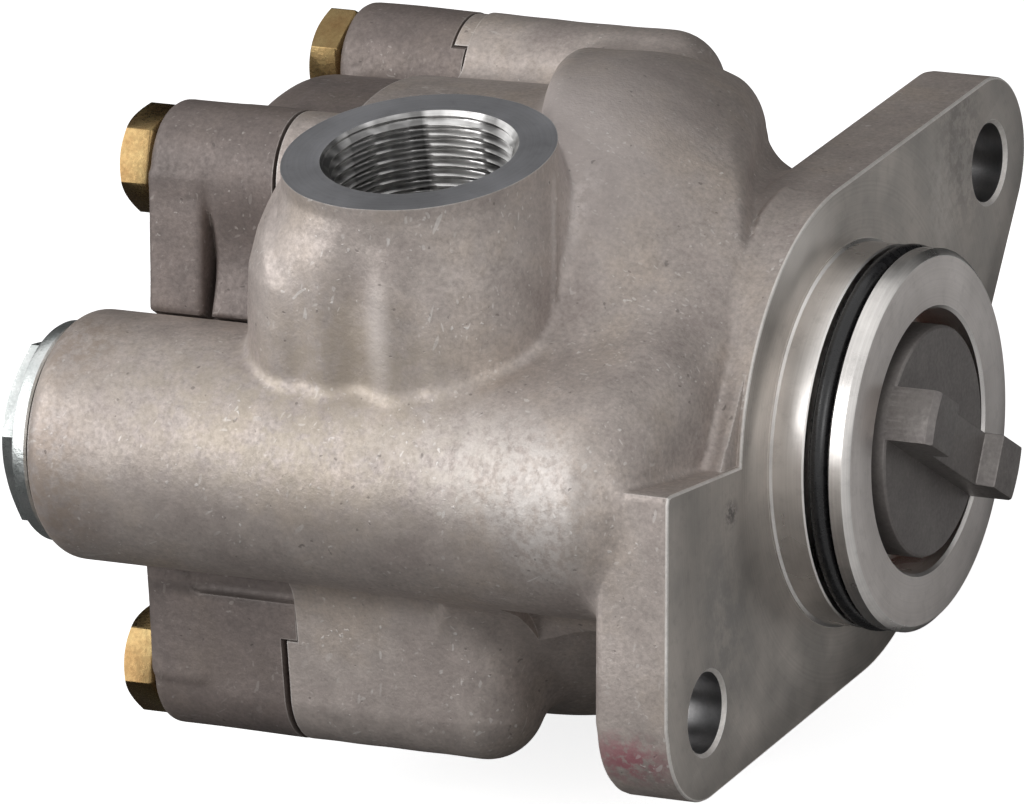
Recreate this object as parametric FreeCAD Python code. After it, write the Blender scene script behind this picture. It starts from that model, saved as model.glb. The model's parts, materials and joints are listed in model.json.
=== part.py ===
import FreeCAD, Part
import math
import os

V = FreeCAD.Vector

# Power steering vane pump with a built-in flow-control valve, in millimetres.
# Origin: centre of the pilot where it leaves the front face of the mounting flange.
# +X runs along the shaft out of the drive end, +Z runs up along the inlet port,
# +Y points away from the side that carries the flow-control valve.

# Mounting flange and pilot
flange_t = 11.0
flange_hub_r = 34.6
flange_lobe_r = 11.9
flange_hole_r = 5.5
flange_hole_span = 106.4
flange_hole_angle = 19.1
ear_corner = (-54.4, 16.4)
ear_inner = (-34.6, 11.0)
ear_edge_low = (-62.2, -14.4)
pilot_r = 26.0
pilot_len = 11.5
pilot_groove_x = 5.0
pilot_groove_w = 3.6
pilot_groove_r = 23.6
mouth_r = 18.0
mouth_from = 3.6

# Main casting
parting_x = -68.0
barrel_r = 42.6
chamber_r = 28.8
chamber_end = -32.0
bolt_places = [(35.3, 31.0), (-19.4, 40.6), (-36.0, -27.0), (19.4, -41.0)]
column_r = 8.5
column_end = -33.0
bearing_bore_r = 17.5
bearing_shoulder = -22.5
wall_hole_r = 10.0
hub_bore_r = 12.05
hub_bore_end = -27.0
gallery_r = 33.5
cover_relief_r = 32.5

# Valve cylinder, parallel to the shaft
valve_y = -42.0
valve_z = 9.6
valve_r = 17.0
valve_end = -95.2
nose_front = -3.4
nose_round = 7.5
valve_bore_r = 7.5
valve_bore_end = -30.0
plug_bore_r = 9.2
plug_bore_end = -84.0

# Inlet port
inlet_x = -45.1
inlet_y = -28.5
inlet_top = 50.1
inlet_boss_r = 18.5
inlet_minor_r = 12.2
inlet_mouth_r = 13.3
inlet_thread_depth = 17.0

# Outlet port, underneath
outlet_x = -33.0
outlet_y = 18.0
outlet_face = -48.0
outlet_boss_r = 12.5
outlet_minor_r = 8.2
outlet_thread_end = -36.5
orifice_r = 4.0

# Rear cover
cover_back = -87.7
cover_web_t = 8.4
cover_core_r = 32.2
cover_body_r = 37.4
cover_ring_r = 40.5
cover_ring_w = 10.5
cover_wall_top = -12.5
bush_bore_r = 8.5
bush_in = -69.0
bush_out = -80.0
seal_groove_r0 = 29.6
seal_groove_r1 = 31.4
seal_groove_d = 1.5

# Cover bolts, M8
bolt_r = 4.0
bolt_af = 13.0
bolt_head_h = 5.3
bolt_len = 28.0
bolt_tap_end = -58.4
bolt_turns = [22.0, 3.0, 2.0, 12.0]

# Rotating group
ring_rear = -62.0
ring_front = -44.0
ring_outer_r = 27.0
cam_major_r = 20.6
cam_minor_r = 18.1
cam_minor_angle = 115.5
rotor_r = 17.8
side_gap = 0.03
vane_count = 10
vane_t = 1.8
vane_slot_t = 1.86
vane_root_r = 10.3
vane_tip_r = 17.9
slot_bottom_r = 9.6
slot_hole_r = 1.3
vane_first_angle = 7.5
pin_r = 2.0
pin_place_r = 22.9
plate_r = 28.6
front_plate_x = -36.0
shaft_bore_in_plate_r = 8.9

# Shaft
shaft_disc_r = 15.75
shaft_disc_x0 = 6.6
shaft_disc_x1 = 12.2
tang_top = 18.7
tang_web_top = 16.0
tang_w = 7.4
tang_lug_in = 7.6
tang_angle = -40.0
seal_seat_r = 10.0
bearing_seat_r = 8.5
shaft_mid_r = 8.3
rotor_seat_r = 7.0
shaft_tail_r = 6.5
shaft_tail_x = -79.0

# Bearing 17 x 35 x 10
bearing_front = -12.4
bearing_w = 10.0
bearing_pitch_r = 13.0
ball_r = 2.75
ball_count = 9
ball_groove_r = 2.80

# Valve plug
plug_head_af = 23.9
plug_head_turn = 39.0
plug_head_h = 2.8
plug_collar_r = 15.0
plug_collar_w = 2.4

# Valve train
spool_r = 7.47
spool_rear = -76.0
spool_front = -48.0
spool_pocket_r = 5.4
spool_pocket_end = -68.0
sleeve_front = -38.0


def cyl_x(r, x0, x1, y=0.0, z=0.0):
    return Part.makeCylinder(r, x1 - x0, V(x0, y, z), V(1, 0, 0))


def cyl_y(r, y0, y1, x, z):
    return Part.makeCylinder(r, y1 - y0, V(x, y0, z), V(0, 1, 0))


def cyl_z(r, z0, z1, x, y):
    return Part.makeCylinder(r, z1 - z0, V(x, y, z0), V(0, 0, 1))


def tube_x(r_in, r_out, x0, x1, y=0.0, z=0.0):
    return cyl_x(r_out, x0, x1, y, z).cut(cyl_x(r_in, x0 - 1, x1 + 1, y, z))


def box(x0, x1, y0, y1, z0, z1):
    return Part.makeBox(x1 - x0, y1 - y0, z1 - z0, V(x0, y0, z0))


def face_of(points):
    """Flat face from 3-D corner points."""
    vs = [V(*p) for p in points]
    return Part.Face(Part.makePolygon(vs + [vs[0]]))


def turned(profile, y=0.0, z=0.0):
    """Solid of revolution about a line parallel to X; profile holds (x, radius)."""
    f = face_of([(x, y, z + r) for x, r in profile])
    return f.revolve(V(0, y, z), V(1, 0, 0), 360)


def turned_smooth(x0, x1, pts, y=0.0, z=0.0):
    """Solid of revolution with a smooth skin through (x, radius) points, drawn as short cones."""
    curve = Part.BSplineCurve()
    curve.interpolate([V(x, r, 0) for x, r in pts])
    skin = [(p.x, p.y) for p in curve.discretize(Number=15)]
    return turned([(x0, 0)] + skin + [(x1, 0)], y, z)


def prism_x(points, x0, x1):
    """Prism along X over (y, z) corner points."""
    return face_of([(x0, y, z) for y, z in points]).extrude(V(x1 - x0, 0, 0))


def ring_x(major_r, minor_r, x, y=0.0, z=0.0):
    return Part.makeTorus(major_r, minor_r, V(x, y, z), V(1, 0, 0))


def hex_x(af, x0, x1, y, z, turn=0.0):
    r = af / math.sqrt(3)
    pts = []
    for k in range(6):
        a = math.radians(60 * k + turn)
        pts.append((y + r * math.cos(a), z + r * math.sin(a)))
    return prism_x(pts, x0, x1)


def polar(r, deg):
    a = math.radians(deg)
    return r * math.cos(a), r * math.sin(a)


def circle_edges(shape, x=None, r=None, tol=0.02):
    """Circular edges, picked by X position and radius."""
    found = []
    for e in shape.Edges:
        c = e.Curve
        if not isinstance(c, Part.Circle):
            continue
        if x is not None and abs(c.Center.x - x) > tol:
            continue
        if r is not None and abs(c.Radius - r) > tol:
            continue
        found.append(e)
    return found


def rounded_rod(r, x0, x1, y, z, f0, f1):
    """Cylinder along X with rounded ends of radius f0 and f1."""
    edges = []
    start = V(x0, y, z)
    last = start
    if f0 > 0:
        a = V(x0, y, z + r - f0)
        b = V(x0 + f0, y, z + r)
        m = V(x0 + f0 * (1 - math.sqrt(0.5)), y, z + r - f0 * (1 - math.sqrt(0.5)))
        edges += [Part.makeLine(last, a), Part.Arc(a, m, b).toShape()]
        last = b
    else:
        a = V(x0, y, z + r)
        edges.append(Part.makeLine(last, a))
        last = a
    if f1 > 0:
        a = V(x1 - f1, y, z + r)
        b = V(x1, y, z + r - f1)
        m = V(x1 - f1 * (1 - math.sqrt(0.5)), y, z + r - f1 * (1 - math.sqrt(0.5)))
        edges += [Part.makeLine(last, a), Part.Arc(a, m, b).toShape()]
        last = b
    else:
        a = V(x1, y, z + r)
        edges.append(Part.makeLine(last, a))
        last = a
    end = V(x1, y, z)
    edges += [Part.makeLine(last, end), Part.makeLine(end, start)]
    return Part.Face(Part.Wire(edges)).revolve(start, V(1, 0, 0), 360)


def sector(r0, r1, a0, a1, x0, x1):
    """Part-ring along X between two angles, with flat ends."""
    mid_in = polar(r0, (a0 + a1) / 2)
    mid_out = polar(r1, (a0 + a1) / 2)
    p = [V(x0, *polar(r0, a0)), V(x0, *mid_in), V(x0, *polar(r0, a1)),
         V(x0, *polar(r1, a1)), V(x0, *mid_out), V(x0, *polar(r1, a0))]
    arc_in = Part.Arc(p[0], p[1], p[2]).toShape()
    arc_out = Part.Arc(p[3], p[4], p[5]).toShape()
    wire = Part.Wire([arc_in, Part.makeLine(p[2], p[3]), arc_out, Part.makeLine(p[5], p[0])])
    return Part.Face(wire).extrude(V(x1 - x0, 0, 0))


def coil(r, wire_r, x0, x1, turns, y, z, direction=1):
    """Round-wire compression spring along X between x0 and x1, ends inside the span."""
    a = x0 + wire_r
    b = x1 - wire_r
    helix = Part.makeHelix((b - a) / turns, b - a, r)
    helix.Placement = FreeCAD.Placement(V(a, y, z), FreeCAD.Rotation(V(0, 1, 0), 90))
    start = helix.Vertexes[0].Point
    e = helix.Edges[0]
    t = e.tangentAt(e.FirstParameter)
    wire = Part.Wire(Part.makeCircle(wire_r, start, t))
    return Part.Wire(helix.Edges).makePipeShell([wire], True, True)


def one(shape, merge=True):
    """The largest solid of a boolean result, with split faces merged if asked."""
    if merge:
        shape = shape.removeSplitter()
    return sorted(shape.Solids, key=lambda s: s.Volume)[-1]


os.makedirs("parts", exist_ok=True)


def save(name, shape):
    if not shape.isValid():
        print("shape needs a look:", name)
    shape.exportStep("parts/" + name + ".step")
    print(name, len(shape.Solids), round(shape.Volume, 1))


hole_dy, hole_dz = polar(flange_hole_span / 2, flange_hole_angle)


# Pump housing: flange, pilot, main barrel, valve cylinder and port bosses in one casting
def tangent_quad(c0, r0, c1, r1):
    """Corner points of the strip tangent to two circles."""
    dy, dz = c1[0] - c0[0], c1[1] - c0[1]
    d = math.hypot(dy, dz)
    base = math.atan2(dz, dy)
    lean = math.acos((r0 - r1) / d)
    pts = []
    for s in (1, -1):
        a = base + s * lean
        pts.append([(c0[0] + r0 * math.cos(a), c0[1] + r0 * math.sin(a)),
                    (c1[0] + r1 * math.cos(a), c1[1] + r1 * math.sin(a))])
    return [pts[0][0], pts[0][1], pts[1][1], pts[1][0]]


def flange_plate(x0, x1):
    plate = cyl_x(flange_hub_r, x0, x1)
    for s in (1, -1):
        c = (s * hole_dy, s * hole_dz)
        plate = plate.fuse(cyl_x(flange_lobe_r, x0, x1, c[0], c[1]))
        plate = plate.fuse(prism_x(tangent_quad((0, 0), flange_hub_r, c, flange_lobe_r), x0, x1))
    ear = [ear_edge_low, ear_corner, ear_inner, (-20, 0), (-hole_dy, -hole_dz)]
    plate = plate.fuse(prism_x(ear, x0, x1))
    return plate.removeSplitter()


flange = flange_plate(-flange_t, 0.0)

barrel = turned_smooth(parting_x, -9.0,
                       [(parting_x, barrel_r), (-55, barrel_r + 0.1), (-42, barrel_r + 0.1),
                        (-32, barrel_r - 0.8), (-22, 38.4), (-14, 34.4), (-9.0, 32.6)])

# Slanted swelling over the suction gallery; seen from above it runs across the barrel
swell = turned_smooth(-56.0, -5.6,
                      [(-56.0, 44.6), (-40, 45.4), (-30, 45.2), (-23, 43.0),
                       (-15, 38.4), (-9.0, 35.0), (-5.6, 33.3)],
                      1.0, 3.0)
left_cut = [(-60.3, 60), (-48.0, 22.5), (-38.0, -8.1), (-21.5, -58.6), (-120, -58.6), (-120, 60)]
right_cut = [(-34.2, 60), (-19.3, 22), (-11.3, 0), (-7.4, -9.6), (-4.0, -18.0), (20, -18.0), (20, 60)]
for outline in (left_cut, right_cut):
    swell = swell.cut(face_of([(x, y, -90) for x, y in outline]).extrude(V(0, 0, 180)))
swell = swell.cut(box(-70, 0, -60, 60, -60, -10))

valve_rod = rounded_rod(valve_r, valve_end, nose_front, valve_y, valve_z, 3.4, nose_round)


def boss_outline(z, left, right, front, back, r_left, r_right):
    """Rounded outline of the inlet boss at height z; the distances run from the port axis."""
    c = [(right, back, r_right), (left, back, r_right), (left, front, r_left), (right, front, r_right)]
    edges = []
    for k in range(4):
        sx = 1 if k in (0, 3) else -1
        sy = 1 if k < 2 else -1
        cx, cy, r = inlet_x + sx * (c[k][0] - c[k][2]), inlet_y + sy * (c[k][1] - c[k][2]), c[k][2]
        a = math.radians(90 * k)
        p = [V(cx + r * math.cos(a + t), cy + r * math.sin(a + t), z)
             for t in (0, math.pi / 4, math.pi / 2)]
        m = (k + 1) % 4
        mx = 1 if m in (0, 3) else -1
        my = 1 if m < 2 else -1
        nx, ny, nr = inlet_x + mx * (c[m][0] - c[m][2]), inlet_y + my * (c[m][1] - c[m][2]), c[m][2]
        b = a + math.pi / 2
        edges.append(Part.Arc(p[0], p[1], p[2]).toShape())
        edges.append(Part.makeLine(p[2], V(nx + nr * math.cos(b), ny + nr * math.sin(b), z)))
    return Part.Wire(edges)


# Height, four half-widths and two corner radii of the inlet boss, from its base to its face
inlet_boss_sections = [
    (8.0, 22.6, 20.6, 22.6, 20.0, 11.0, 15.0),
    (24.0, 22.4, 20.4, 22.0, 19.6, 11.0, 15.5),
    (32.0, 21.8, 20.0, 21.0, 19.2, 11.4, 16.4),
    (38.0, 21.2, 19.5, 20.2, 19.0, 12.4, 17.2),
    (42.0, 20.3, 19.0, 19.5, 18.8, 14.0, 17.9),
    (45.0, 19.3, 18.7, 18.9, 18.6, 16.4, 18.2),
    (48.0, 18.6, 18.5, 18.6, 18.5, 18.2, 18.4),
    (inlet_top, 18.5, 18.5, 18.5, 18.5, 18.45, 18.45),
]
inlet_boss = Part.makeLoft([boss_outline(*row) for row in inlet_boss_sections], True, True)

outlet_centre = V(outlet_x, outlet_y, outlet_face)
outlet_boss = Part.makeCone(outlet_boss_r, outlet_boss_r + 1.5, 20.0, outlet_centre, V(0, 0, 1))

columns = []
for y, z in bolt_places:
    columns.append(rounded_rod(column_r, parting_x, column_end, y, z, 0, 7.5))

# Upright wall beside the lower valve-side bolt column, up to the valve cylinder
low_y, low_z = bolt_places[2]
wall_low = box(parting_x, column_end - 1.5, low_y - column_r, low_y + 14, low_z, 3.0)
wall_low = wall_low.makeFillet(6.0, [e for e in wall_low.Edges
                                     if abs(e.CenterOfMass.x - (column_end - 1.5)) < 0.01
                                     and abs(e.CenterOfMass.y - (low_y - column_r)) < 0.01])

# Web that carries the valve cylinder over to the flange hub
web_pts = tangent_quad((0.0, 0.0), flange_hub_r - 1.0, (valve_y, valve_z), valve_r)
web_length = math.hypot(web_pts[1][0] - web_pts[0][0], web_pts[1][1] - web_pts[0][1])
valve_web = prism_x(web_pts, -40.0, nose_front)
web_edges = [e for e in valve_web.Edges if abs(e.CenterOfMass.x - nose_front) < 0.01
             and abs(e.Length - web_length) < 0.01]
valve_web = valve_web.makeFillet(nose_round, web_edges)

housing = flange
for s in [barrel, swell, valve_rod, inlet_boss, outlet_boss, wall_low, valve_web] + columns:
    housing = housing.fuse(s)

pilot = turned([(-2, 0), (-2, pilot_r), (pilot_groove_x, pilot_r), (pilot_groove_x, pilot_groove_r),
                (pilot_groove_x + pilot_groove_w, pilot_groove_r),
                (pilot_groove_x + pilot_groove_w, pilot_r),
                (pilot_len - 0.8, pilot_r), (pilot_len, pilot_r - 0.8), (pilot_len, 0)])
housing = housing.fuse(pilot)

# Locating tooth at the rear joint, on the far upper bolt column
tooth_len = 2.2
tooth_gap = 0.7
tooth_level = 37.5
tooth_y, tooth_z = bolt_places[0]
low_step_z = -18.0
low_joint_upper = -64.5
low_joint_lower = -66.2


def tooth_zone(x0, x1, grow):
    """Outer part of the far upper bolt column, where the joint line is stepped."""
    return box(x0, x1, tooth_y - 14, tooth_y + 14, tooth_level - grow, tooth_z + 20)


tooth = cyl_x(column_r - 0.2, parting_x - tooth_len, parting_x, tooth_y, tooth_z)
housing = housing.fuse(tooth.common(tooth_zone(parting_x - tooth_len, parting_x, 0.0)))

# The lower joint is stepped the other way: the cover reaches past the parting plane there
low_notch = box(parting_x - 1, low_joint_upper, low_y - 12, low_y + 2, low_step_z, 6.0)
low_notch = low_notch.fuse(box(parting_x - 1, low_joint_lower, low_y - 12, low_y + 14,
                               low_z - 12, low_step_z))
low_notch = low_notch.cut(cyl_x(39.4, parting_x - 2, parting_x + 8))
low_notch = low_notch.cut(cyl_x(valve_r, parting_x - 2, parting_x + 8, valve_y, valve_z))
housing = housing.cut(low_notch)

cuts = [
    # pump chamber, hub bore, bearing bore and seal mouth
    cyl_x(chamber_r, parting_x - 1, chamber_end),
    cyl_x(hub_bore_r, chamber_end - 1, hub_bore_end),
    cyl_x(wall_hole_r, hub_bore_end - 1, bearing_shoulder + 1),
    cyl_x(bearing_bore_r, bearing_shoulder, mouth_from + 1),
    cyl_x(mouth_r, mouth_from, pilot_len + 1),
    turned([(pilot_len - 0.5, 0), (pilot_len - 0.5, mouth_r), (pilot_len + 0.1, mouth_r + 0.6),
            (pilot_len + 0.1, 0)]),
    # bearing circlip groove
    cyl_x(bearing_bore_r + 1.3, bearing_front, bearing_front + 1.65),
    # valve bore and plug bore
    cyl_x(valve_bore_r, plug_bore_end - 1, valve_bore_end, valve_y, valve_z),
    cyl_x(plug_bore_r, valve_end - 1, plug_bore_end, valve_y, valve_z),
    turned([(valve_end - 0.1, 0), (valve_end - 0.1, plug_bore_r + 1.9), (valve_end + 1.8, plug_bore_r),
            (valve_end + 1.8, 0)], valve_y, valve_z),
    # inlet thread bore, its lead chamfer and the passage down to the suction gallery
    cyl_z(inlet_minor_r, inlet_top - inlet_thread_depth, inlet_top + 1, inlet_x, inlet_y),
    Part.makeCone(inlet_minor_r, inlet_mouth_r, 1.1, V(inlet_x, inlet_y, inlet_top - 1.1), V(0, 0, 1)),
    cyl_z(10.0, 31.0, inlet_top - inlet_thread_depth + 1, inlet_x, inlet_y),
    cyl_z(6.0, 15.0, 32.0, -51.2, inlet_y),
    # return of surplus oil from the valve bore to the inlet passage
    cyl_y(4.0, valve_y, inlet_y, -58.0, valve_z),
    # delivery passage from the front pressure chamber to the valve bore
    cyl_y(3.0, valve_y, -24.0, -34.2, valve_z),
    # outlet thread, orifice seat and slanted passage to the pressure chamber
    cyl_z(outlet_boss_r, outlet_face - 6, outlet_face, outlet_x, outlet_y),
    cyl_z(outlet_minor_r, outlet_face - 6, outlet_thread_end, outlet_x, outlet_y),
    Part.makeCone(outlet_minor_r + 0.9, outlet_minor_r, 0.9, outlet_centre, V(0, 0, 1)),
    cyl_z(orifice_r, outlet_thread_end - 1, -32.5, outlet_x, outlet_y),
    cyl_z(2.0, -33.5, -20.0, -34.1, outlet_y),
    # drain from the bearing space to the suction gallery
    cyl_z(1.8, 9.0, 36.0, -24.9, 0.0),
    cyl_x(1.5, -50.0, -23.9, 0.0, 34.4),
    # suction gallery: a wider part-ring over the top of the chamber
    sector(chamber_r - 2.0, gallery_r, 62.0, 190.0, -61.0, -47.0),
    # relief beside the valve cylinder, through which the cover and the pump cartridge are put in
    cyl_x(cover_relief_r, valve_end - 1, parting_x),
]

for s in (1, -1):
    y, z = s * hole_dy, s * hole_dz
    cuts.append(cyl_x(flange_hole_r, -flange_t - 1, 1, y, z))
    cuts.append(turned([(-0.5, 0), (-0.5, flange_hole_r), (0.1, flange_hole_r + 0.6), (0.1, 0)], y, z))
    cuts.append(cyl_x(flange_lobe_r - 0.6, -flange_t - 8, -flange_t, y, z))

for y, z in bolt_places:
    cuts.append(cyl_x(bolt_r, parting_x - 3, bolt_tap_end, y, z))

for c in cuts:
    housing = housing.cut(c)
housing = one(housing, merge=False)
save("pump_housing", housing)

# Rear cover: bolted casting that closes the chamber and carries the rear bush
cover = rounded_rod(cover_body_r, cover_back + 1.8, parting_x, 2.8, 3.2, 2.5, 0)
for y, z in bolt_places:
    cover = cover.fuse(rounded_rod(column_r, cover_back, parting_x, y, z, 1.6, 0))
ear_c = bolt_places[1]
low_c = bolt_places[2]
side_web = prism_x(tangent_quad(ear_c, column_r, low_c, column_r), cover_back, cover_back + cover_web_t)
side_web = side_web.makeFillet(1.4, [e for e in side_web.Edges if abs(e.CenterOfMass.x - cover_back) < 0.01
                                     and e.CenterOfMass.y < -34])
cover = cover.fuse(side_web)
far_web = prism_x(tangent_quad(bolt_places[3], column_r - 1.5, bolt_places[0], column_r - 1.5),
                  cover_back + 4, cover_back + 4 + cover_web_t)
cover = cover.fuse(far_web)
cover = cover.fuse(cyl_x(cover_ring_r, parting_x - cover_ring_w, parting_x))
cover = cover.fuse(box(cover_back + cover_web_t - 1, parting_x, low_c[0] - column_r, low_c[0],
                       low_c[1], cover_wall_top))
cover = cover.cut(tooth_zone(parting_x - tooth_len - tooth_gap, parting_x + 1, 0.4))
cover = cover.fuse(cyl_x(37.6, parting_x - 5.0, parting_x))
low_tongue = cyl_x(column_r, parting_x - 1, low_joint_upper - 0.1, low_y, low_z)
low_tongue = low_tongue.fuse(box(parting_x - 6, low_joint_upper - 0.1, low_y - column_r, low_y,
                                 low_z, -6.0))
low_tongue = low_tongue.cut(box(low_joint_lower - tooth_gap, parting_x + 8, low_y - 20, low_y + 20,
                                low_z - 20, low_step_z + 0.3))
low_tongue = low_tongue.cut(cyl_x(39.7, parting_x, parting_x + 8))
cover = cover.fuse(low_tongue)
cover = cover.cut(cyl_x(valve_r + 1.2, cover_back - 10, parting_x + 6, valve_y, valve_z))
cover = cover.fuse(cyl_x(cover_core_r, parting_x - 7.0, parting_x))
cover = cover.cut(cyl_x(bush_bore_r, bush_out - 2.0, parting_x + 1))
cover = cover.cut(cyl_x(shaft_bore_in_plate_r + 1.6, bush_in, parting_x + 1))
cover = cover.cut(tube_x(seal_groove_r0, seal_groove_r1, parting_x - seal_groove_d, parting_x + 1))
for y, z in bolt_places:
    cover = cover.cut(cyl_x(bolt_r + 0.4, cover_back - 1, parting_x + 6, y, z))
for s in (1, -1):
    y, z = polar(s * pin_place_r, cam_minor_angle)
    cover = cover.cut(cyl_x(pin_r, parting_x - 4.5, parting_x + 1, y, z))
cover = one(cover)
save("rear_cover", cover)

# Cover seal, a square ring in the cover's face groove
save("cover_seal", tube_x(seal_groove_r0 + 0.15, seal_groove_r1 - 0.15,
                          parting_x - seal_groove_d, parting_x))

# Cover bolts: hexagon head, washer face, shank and thread core
bolts = []
for i, (y, z) in enumerate(bolt_places):
    head = hex_x(bolt_af, cover_back - bolt_head_h, cover_back - 0.4, y, z, bolt_turns[i])
    cap = turned([(cover_back - bolt_head_h, 0), (cover_back - bolt_head_h, bolt_af / 2 - 0.1),
                  (cover_back - bolt_head_h + 0.7, bolt_af / math.sqrt(3) + 0.05),
                  (cover_back, bolt_af / math.sqrt(3) + 0.05), (cover_back, 0)], y, z)
    head = head.common(cap)
    washer = cyl_x(bolt_af / 2 - 0.35, cover_back - 0.4, cover_back, y, z)
    shank = turned([(cover_back - 1, 0), (cover_back - 1, bolt_r), (cover_back + bolt_len - 1, bolt_r),
                    (cover_back + bolt_len, bolt_r - 1), (cover_back + bolt_len, 0)], y, z)
    bolts.append(one(head.fuse(washer).fuse(shank)))
save("cover_bolts", Part.makeCompound(bolts))

# Pilot O-ring, standing a little proud of the pilot
o_r = 1.32
save("pilot_o_ring", ring_x(pilot_groove_r + o_r, o_r, pilot_groove_x + pilot_groove_w / 2))

# Shaft seal: rubber body with lip, and its garter spring
seal_x0 = -4.0
seal_x1 = 3.6
lip_r = seal_seat_r + 0.05
seal_profile = [(seal_x0, bearing_bore_r), (seal_x0, 15.6), (1.2, 15.6), (1.2, 13.4), (-3.4, 12.9),
                (-3.4, 10.9), (-1.6, lip_r), (-0.9, lip_r), (1.6, 11.4),
                (2.4, lip_r + 0.3), (3.0, lip_r + 0.4),
                (2.9, 12.4), (3.4, 13.2), (seal_x1, bearing_bore_r)]
seal = turned(seal_profile)
seal = seal.cut(ring_x(12.9 + 0.5, 0.62, -2.4))
save("shaft_seal", one(seal))
save("seal_garter_spring", ring_x(12.9 + 0.5, 0.6, -2.4))

# Ball bearing
bx1 = bearing_front
bx0 = bearing_front - bearing_w
bxm = (bx0 + bx1) / 2
outer = tube_x(14.7, bearing_bore_r, bx0, bx1)
outer = outer.cut(ring_x(bearing_pitch_r, ball_groove_r, bxm))
outer_rims = circle_edges(outer, x=bx0, r=bearing_bore_r) + circle_edges(outer, x=bx1, r=bearing_bore_r)
outer = outer.makeChamfer(0.5, outer_rims)
save("bearing_outer_ring", outer)
inner = tube_x(bearing_seat_r, 11.3, bx0, bx1)
inner = inner.cut(ring_x(bearing_pitch_r, ball_groove_r, bxm))
save("bearing_inner_ring", inner)
balls = []
cage = tube_x(12.3, 13.7, bxm - 3.4, bxm + 3.4)
for k in range(ball_count):
    y, z = polar(bearing_pitch_r, 360.0 / ball_count * k + 20)
    balls.append(Part.makeSphere(ball_r, V(bxm, y, z)))
    cage = cage.cut(Part.makeSphere(ball_r + 0.06, V(bxm, y, z)))
save("bearing_balls", Part.makeCompound(balls))
save("bearing_cage", one(cage))

# Circlip in the housing bore that holds the bearing
clip = tube_x(bearing_bore_r - 2.1, bearing_bore_r + 1.2, bearing_front + 0.02, bearing_front + 1.57)
clip = clip.cut(prism_x([(0, 0), (6, -24), (-6, -24)], bearing_front - 1, bearing_front + 3))
save("bearing_circlip", one(clip))

# Cam ring with its two-lobe track, dowel holes and suction windows
def cam_radius(deg):
    a = math.radians(deg - cam_minor_angle)
    return cam_minor_r + (cam_major_r - cam_minor_r) * (1 - math.cos(2 * a)) / 2


def cam_solid(x0, x1, extra=0.0):
    pts = []
    for k in range(72):
        y, z = polar(cam_radius(k * 5) + extra, k * 5)
        pts.append(V(x0, y, z))
    curve = Part.BSplineCurve()
    curve.interpolate(pts, PeriodicFlag=True)
    return Part.Face(Part.Wire(curve.toShape())).extrude(V(x1 - x0, 0, 0))


cam_ring = cyl_x(ring_outer_r, ring_rear, ring_front).cut(cam_solid(ring_rear - 1, ring_front + 1))
cam_ring = cam_ring.makeChamfer(0.6, circle_edges(cam_ring, r=ring_outer_r))
for s in (1, -1):
    y, z = polar(s * pin_place_r, cam_minor_angle)
    cam_ring = cam_ring.cut(cyl_x(pin_r + 0.02, ring_rear - 1, ring_front + 1, y, z))
    # suction windows in both end faces, open to the gallery
    base = cam_minor_angle + (0 if s > 0 else 180)
    for x0, x1 in ((ring_rear - 1, ring_rear + 3.5), (ring_front - 3.5, ring_front + 1)):
        cam_ring = cam_ring.cut(sector(16.5, 29.0, base + 24, base + 62, x0, x1))
save("cam_ring", one(cam_ring))

# Side plates: pressure plate at the front with a sealing hub, wear plate at the rear
front_plate = turned([(ring_front, 0), (ring_front, plate_r), (front_plate_x, plate_r),
                      (front_plate_x, 14.5), (-32.3, 12.0), (-28.5, 12.0), (-28.5, 0)])
front_plate = front_plate.cut(cyl_x(shaft_bore_in_plate_r, ring_front - 1, -20))
front_plate = front_plate.cut(tube_x(plate_r - 2.1, 33, -42.8, -40.4))
front_plate = front_plate.cut(tube_x(10.6, 13.0, -31.2, -29.2))
rear_plate = tube_x(shaft_bore_in_plate_r, plate_r, parting_x, ring_rear)
for s in (1, -1):
    base = cam_minor_angle + (0 if s > 0 else 180)
    front_plate = front_plate.cut(sector(16.6, 20.2, base - 62, base - 24,
                                         ring_front - 1, front_plate_x + 1))
    rear_plate = rear_plate.cut(sector(16.6, 20.2, base - 62, base - 24, ring_rear - 2.0, ring_rear + 1))
    front_plate = front_plate.cut(sector(16.0, 30.0, base + 24, base + 62,
                                         ring_front - 1, ring_front + 1.0))
    rear_plate = rear_plate.cut(sector(16.0, 30.0, base + 24, base + 62, ring_rear - 3.5, ring_rear + 1))
    # under-vane grooves
    front_plate = front_plate.cut(sector(9.8, 11.6, base - 80, base + 80, ring_front - 1, ring_front + 1.6))
    rear_plate = rear_plate.cut(sector(9.8, 11.6, base - 80, base + 80, ring_rear - 1.6, ring_rear + 1))
    y, z = polar(s * pin_place_r, cam_minor_angle)
    front_plate = front_plate.cut(cyl_x(pin_r + 0.02, ring_front - 1, ring_front + 5.5, y, z))
    rear_plate = rear_plate.cut(cyl_x(pin_r + 0.02, parting_x - 1, ring_rear + 1, y, z))
    bleed_y, bleed_z = polar(10.7, base)
    front_plate = front_plate.cut(cyl_x(0.9, ring_front - 0.5, ring_front + 8.5, bleed_y, bleed_z))
save("front_plate", one(front_plate))
save("rear_plate", one(rear_plate))
save("plate_o_rings", Part.makeCompound([
    turned([(-42.7, plate_r - 2.05), (-42.7, chamber_r - 0.03),
            (-40.5, chamber_r - 0.03), (-40.5, plate_r - 2.05)]),
    turned([(-31.1, 10.65), (-31.1, 12.02), (-29.3, 12.02), (-29.3, 10.65)])]))

# Wave spring that holds the plates on the cam ring until pressure builds up
wave = tube_x(21.5, 26.5, front_plate_x, front_plate_x + 1.2)
for k in range(3):
    wave = wave.fuse(sector(21.5, 26.5, 120 * k + 70, 120 * k + 100, front_plate_x + 1.0, chamber_end))
save("plate_spring", one(wave))

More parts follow.
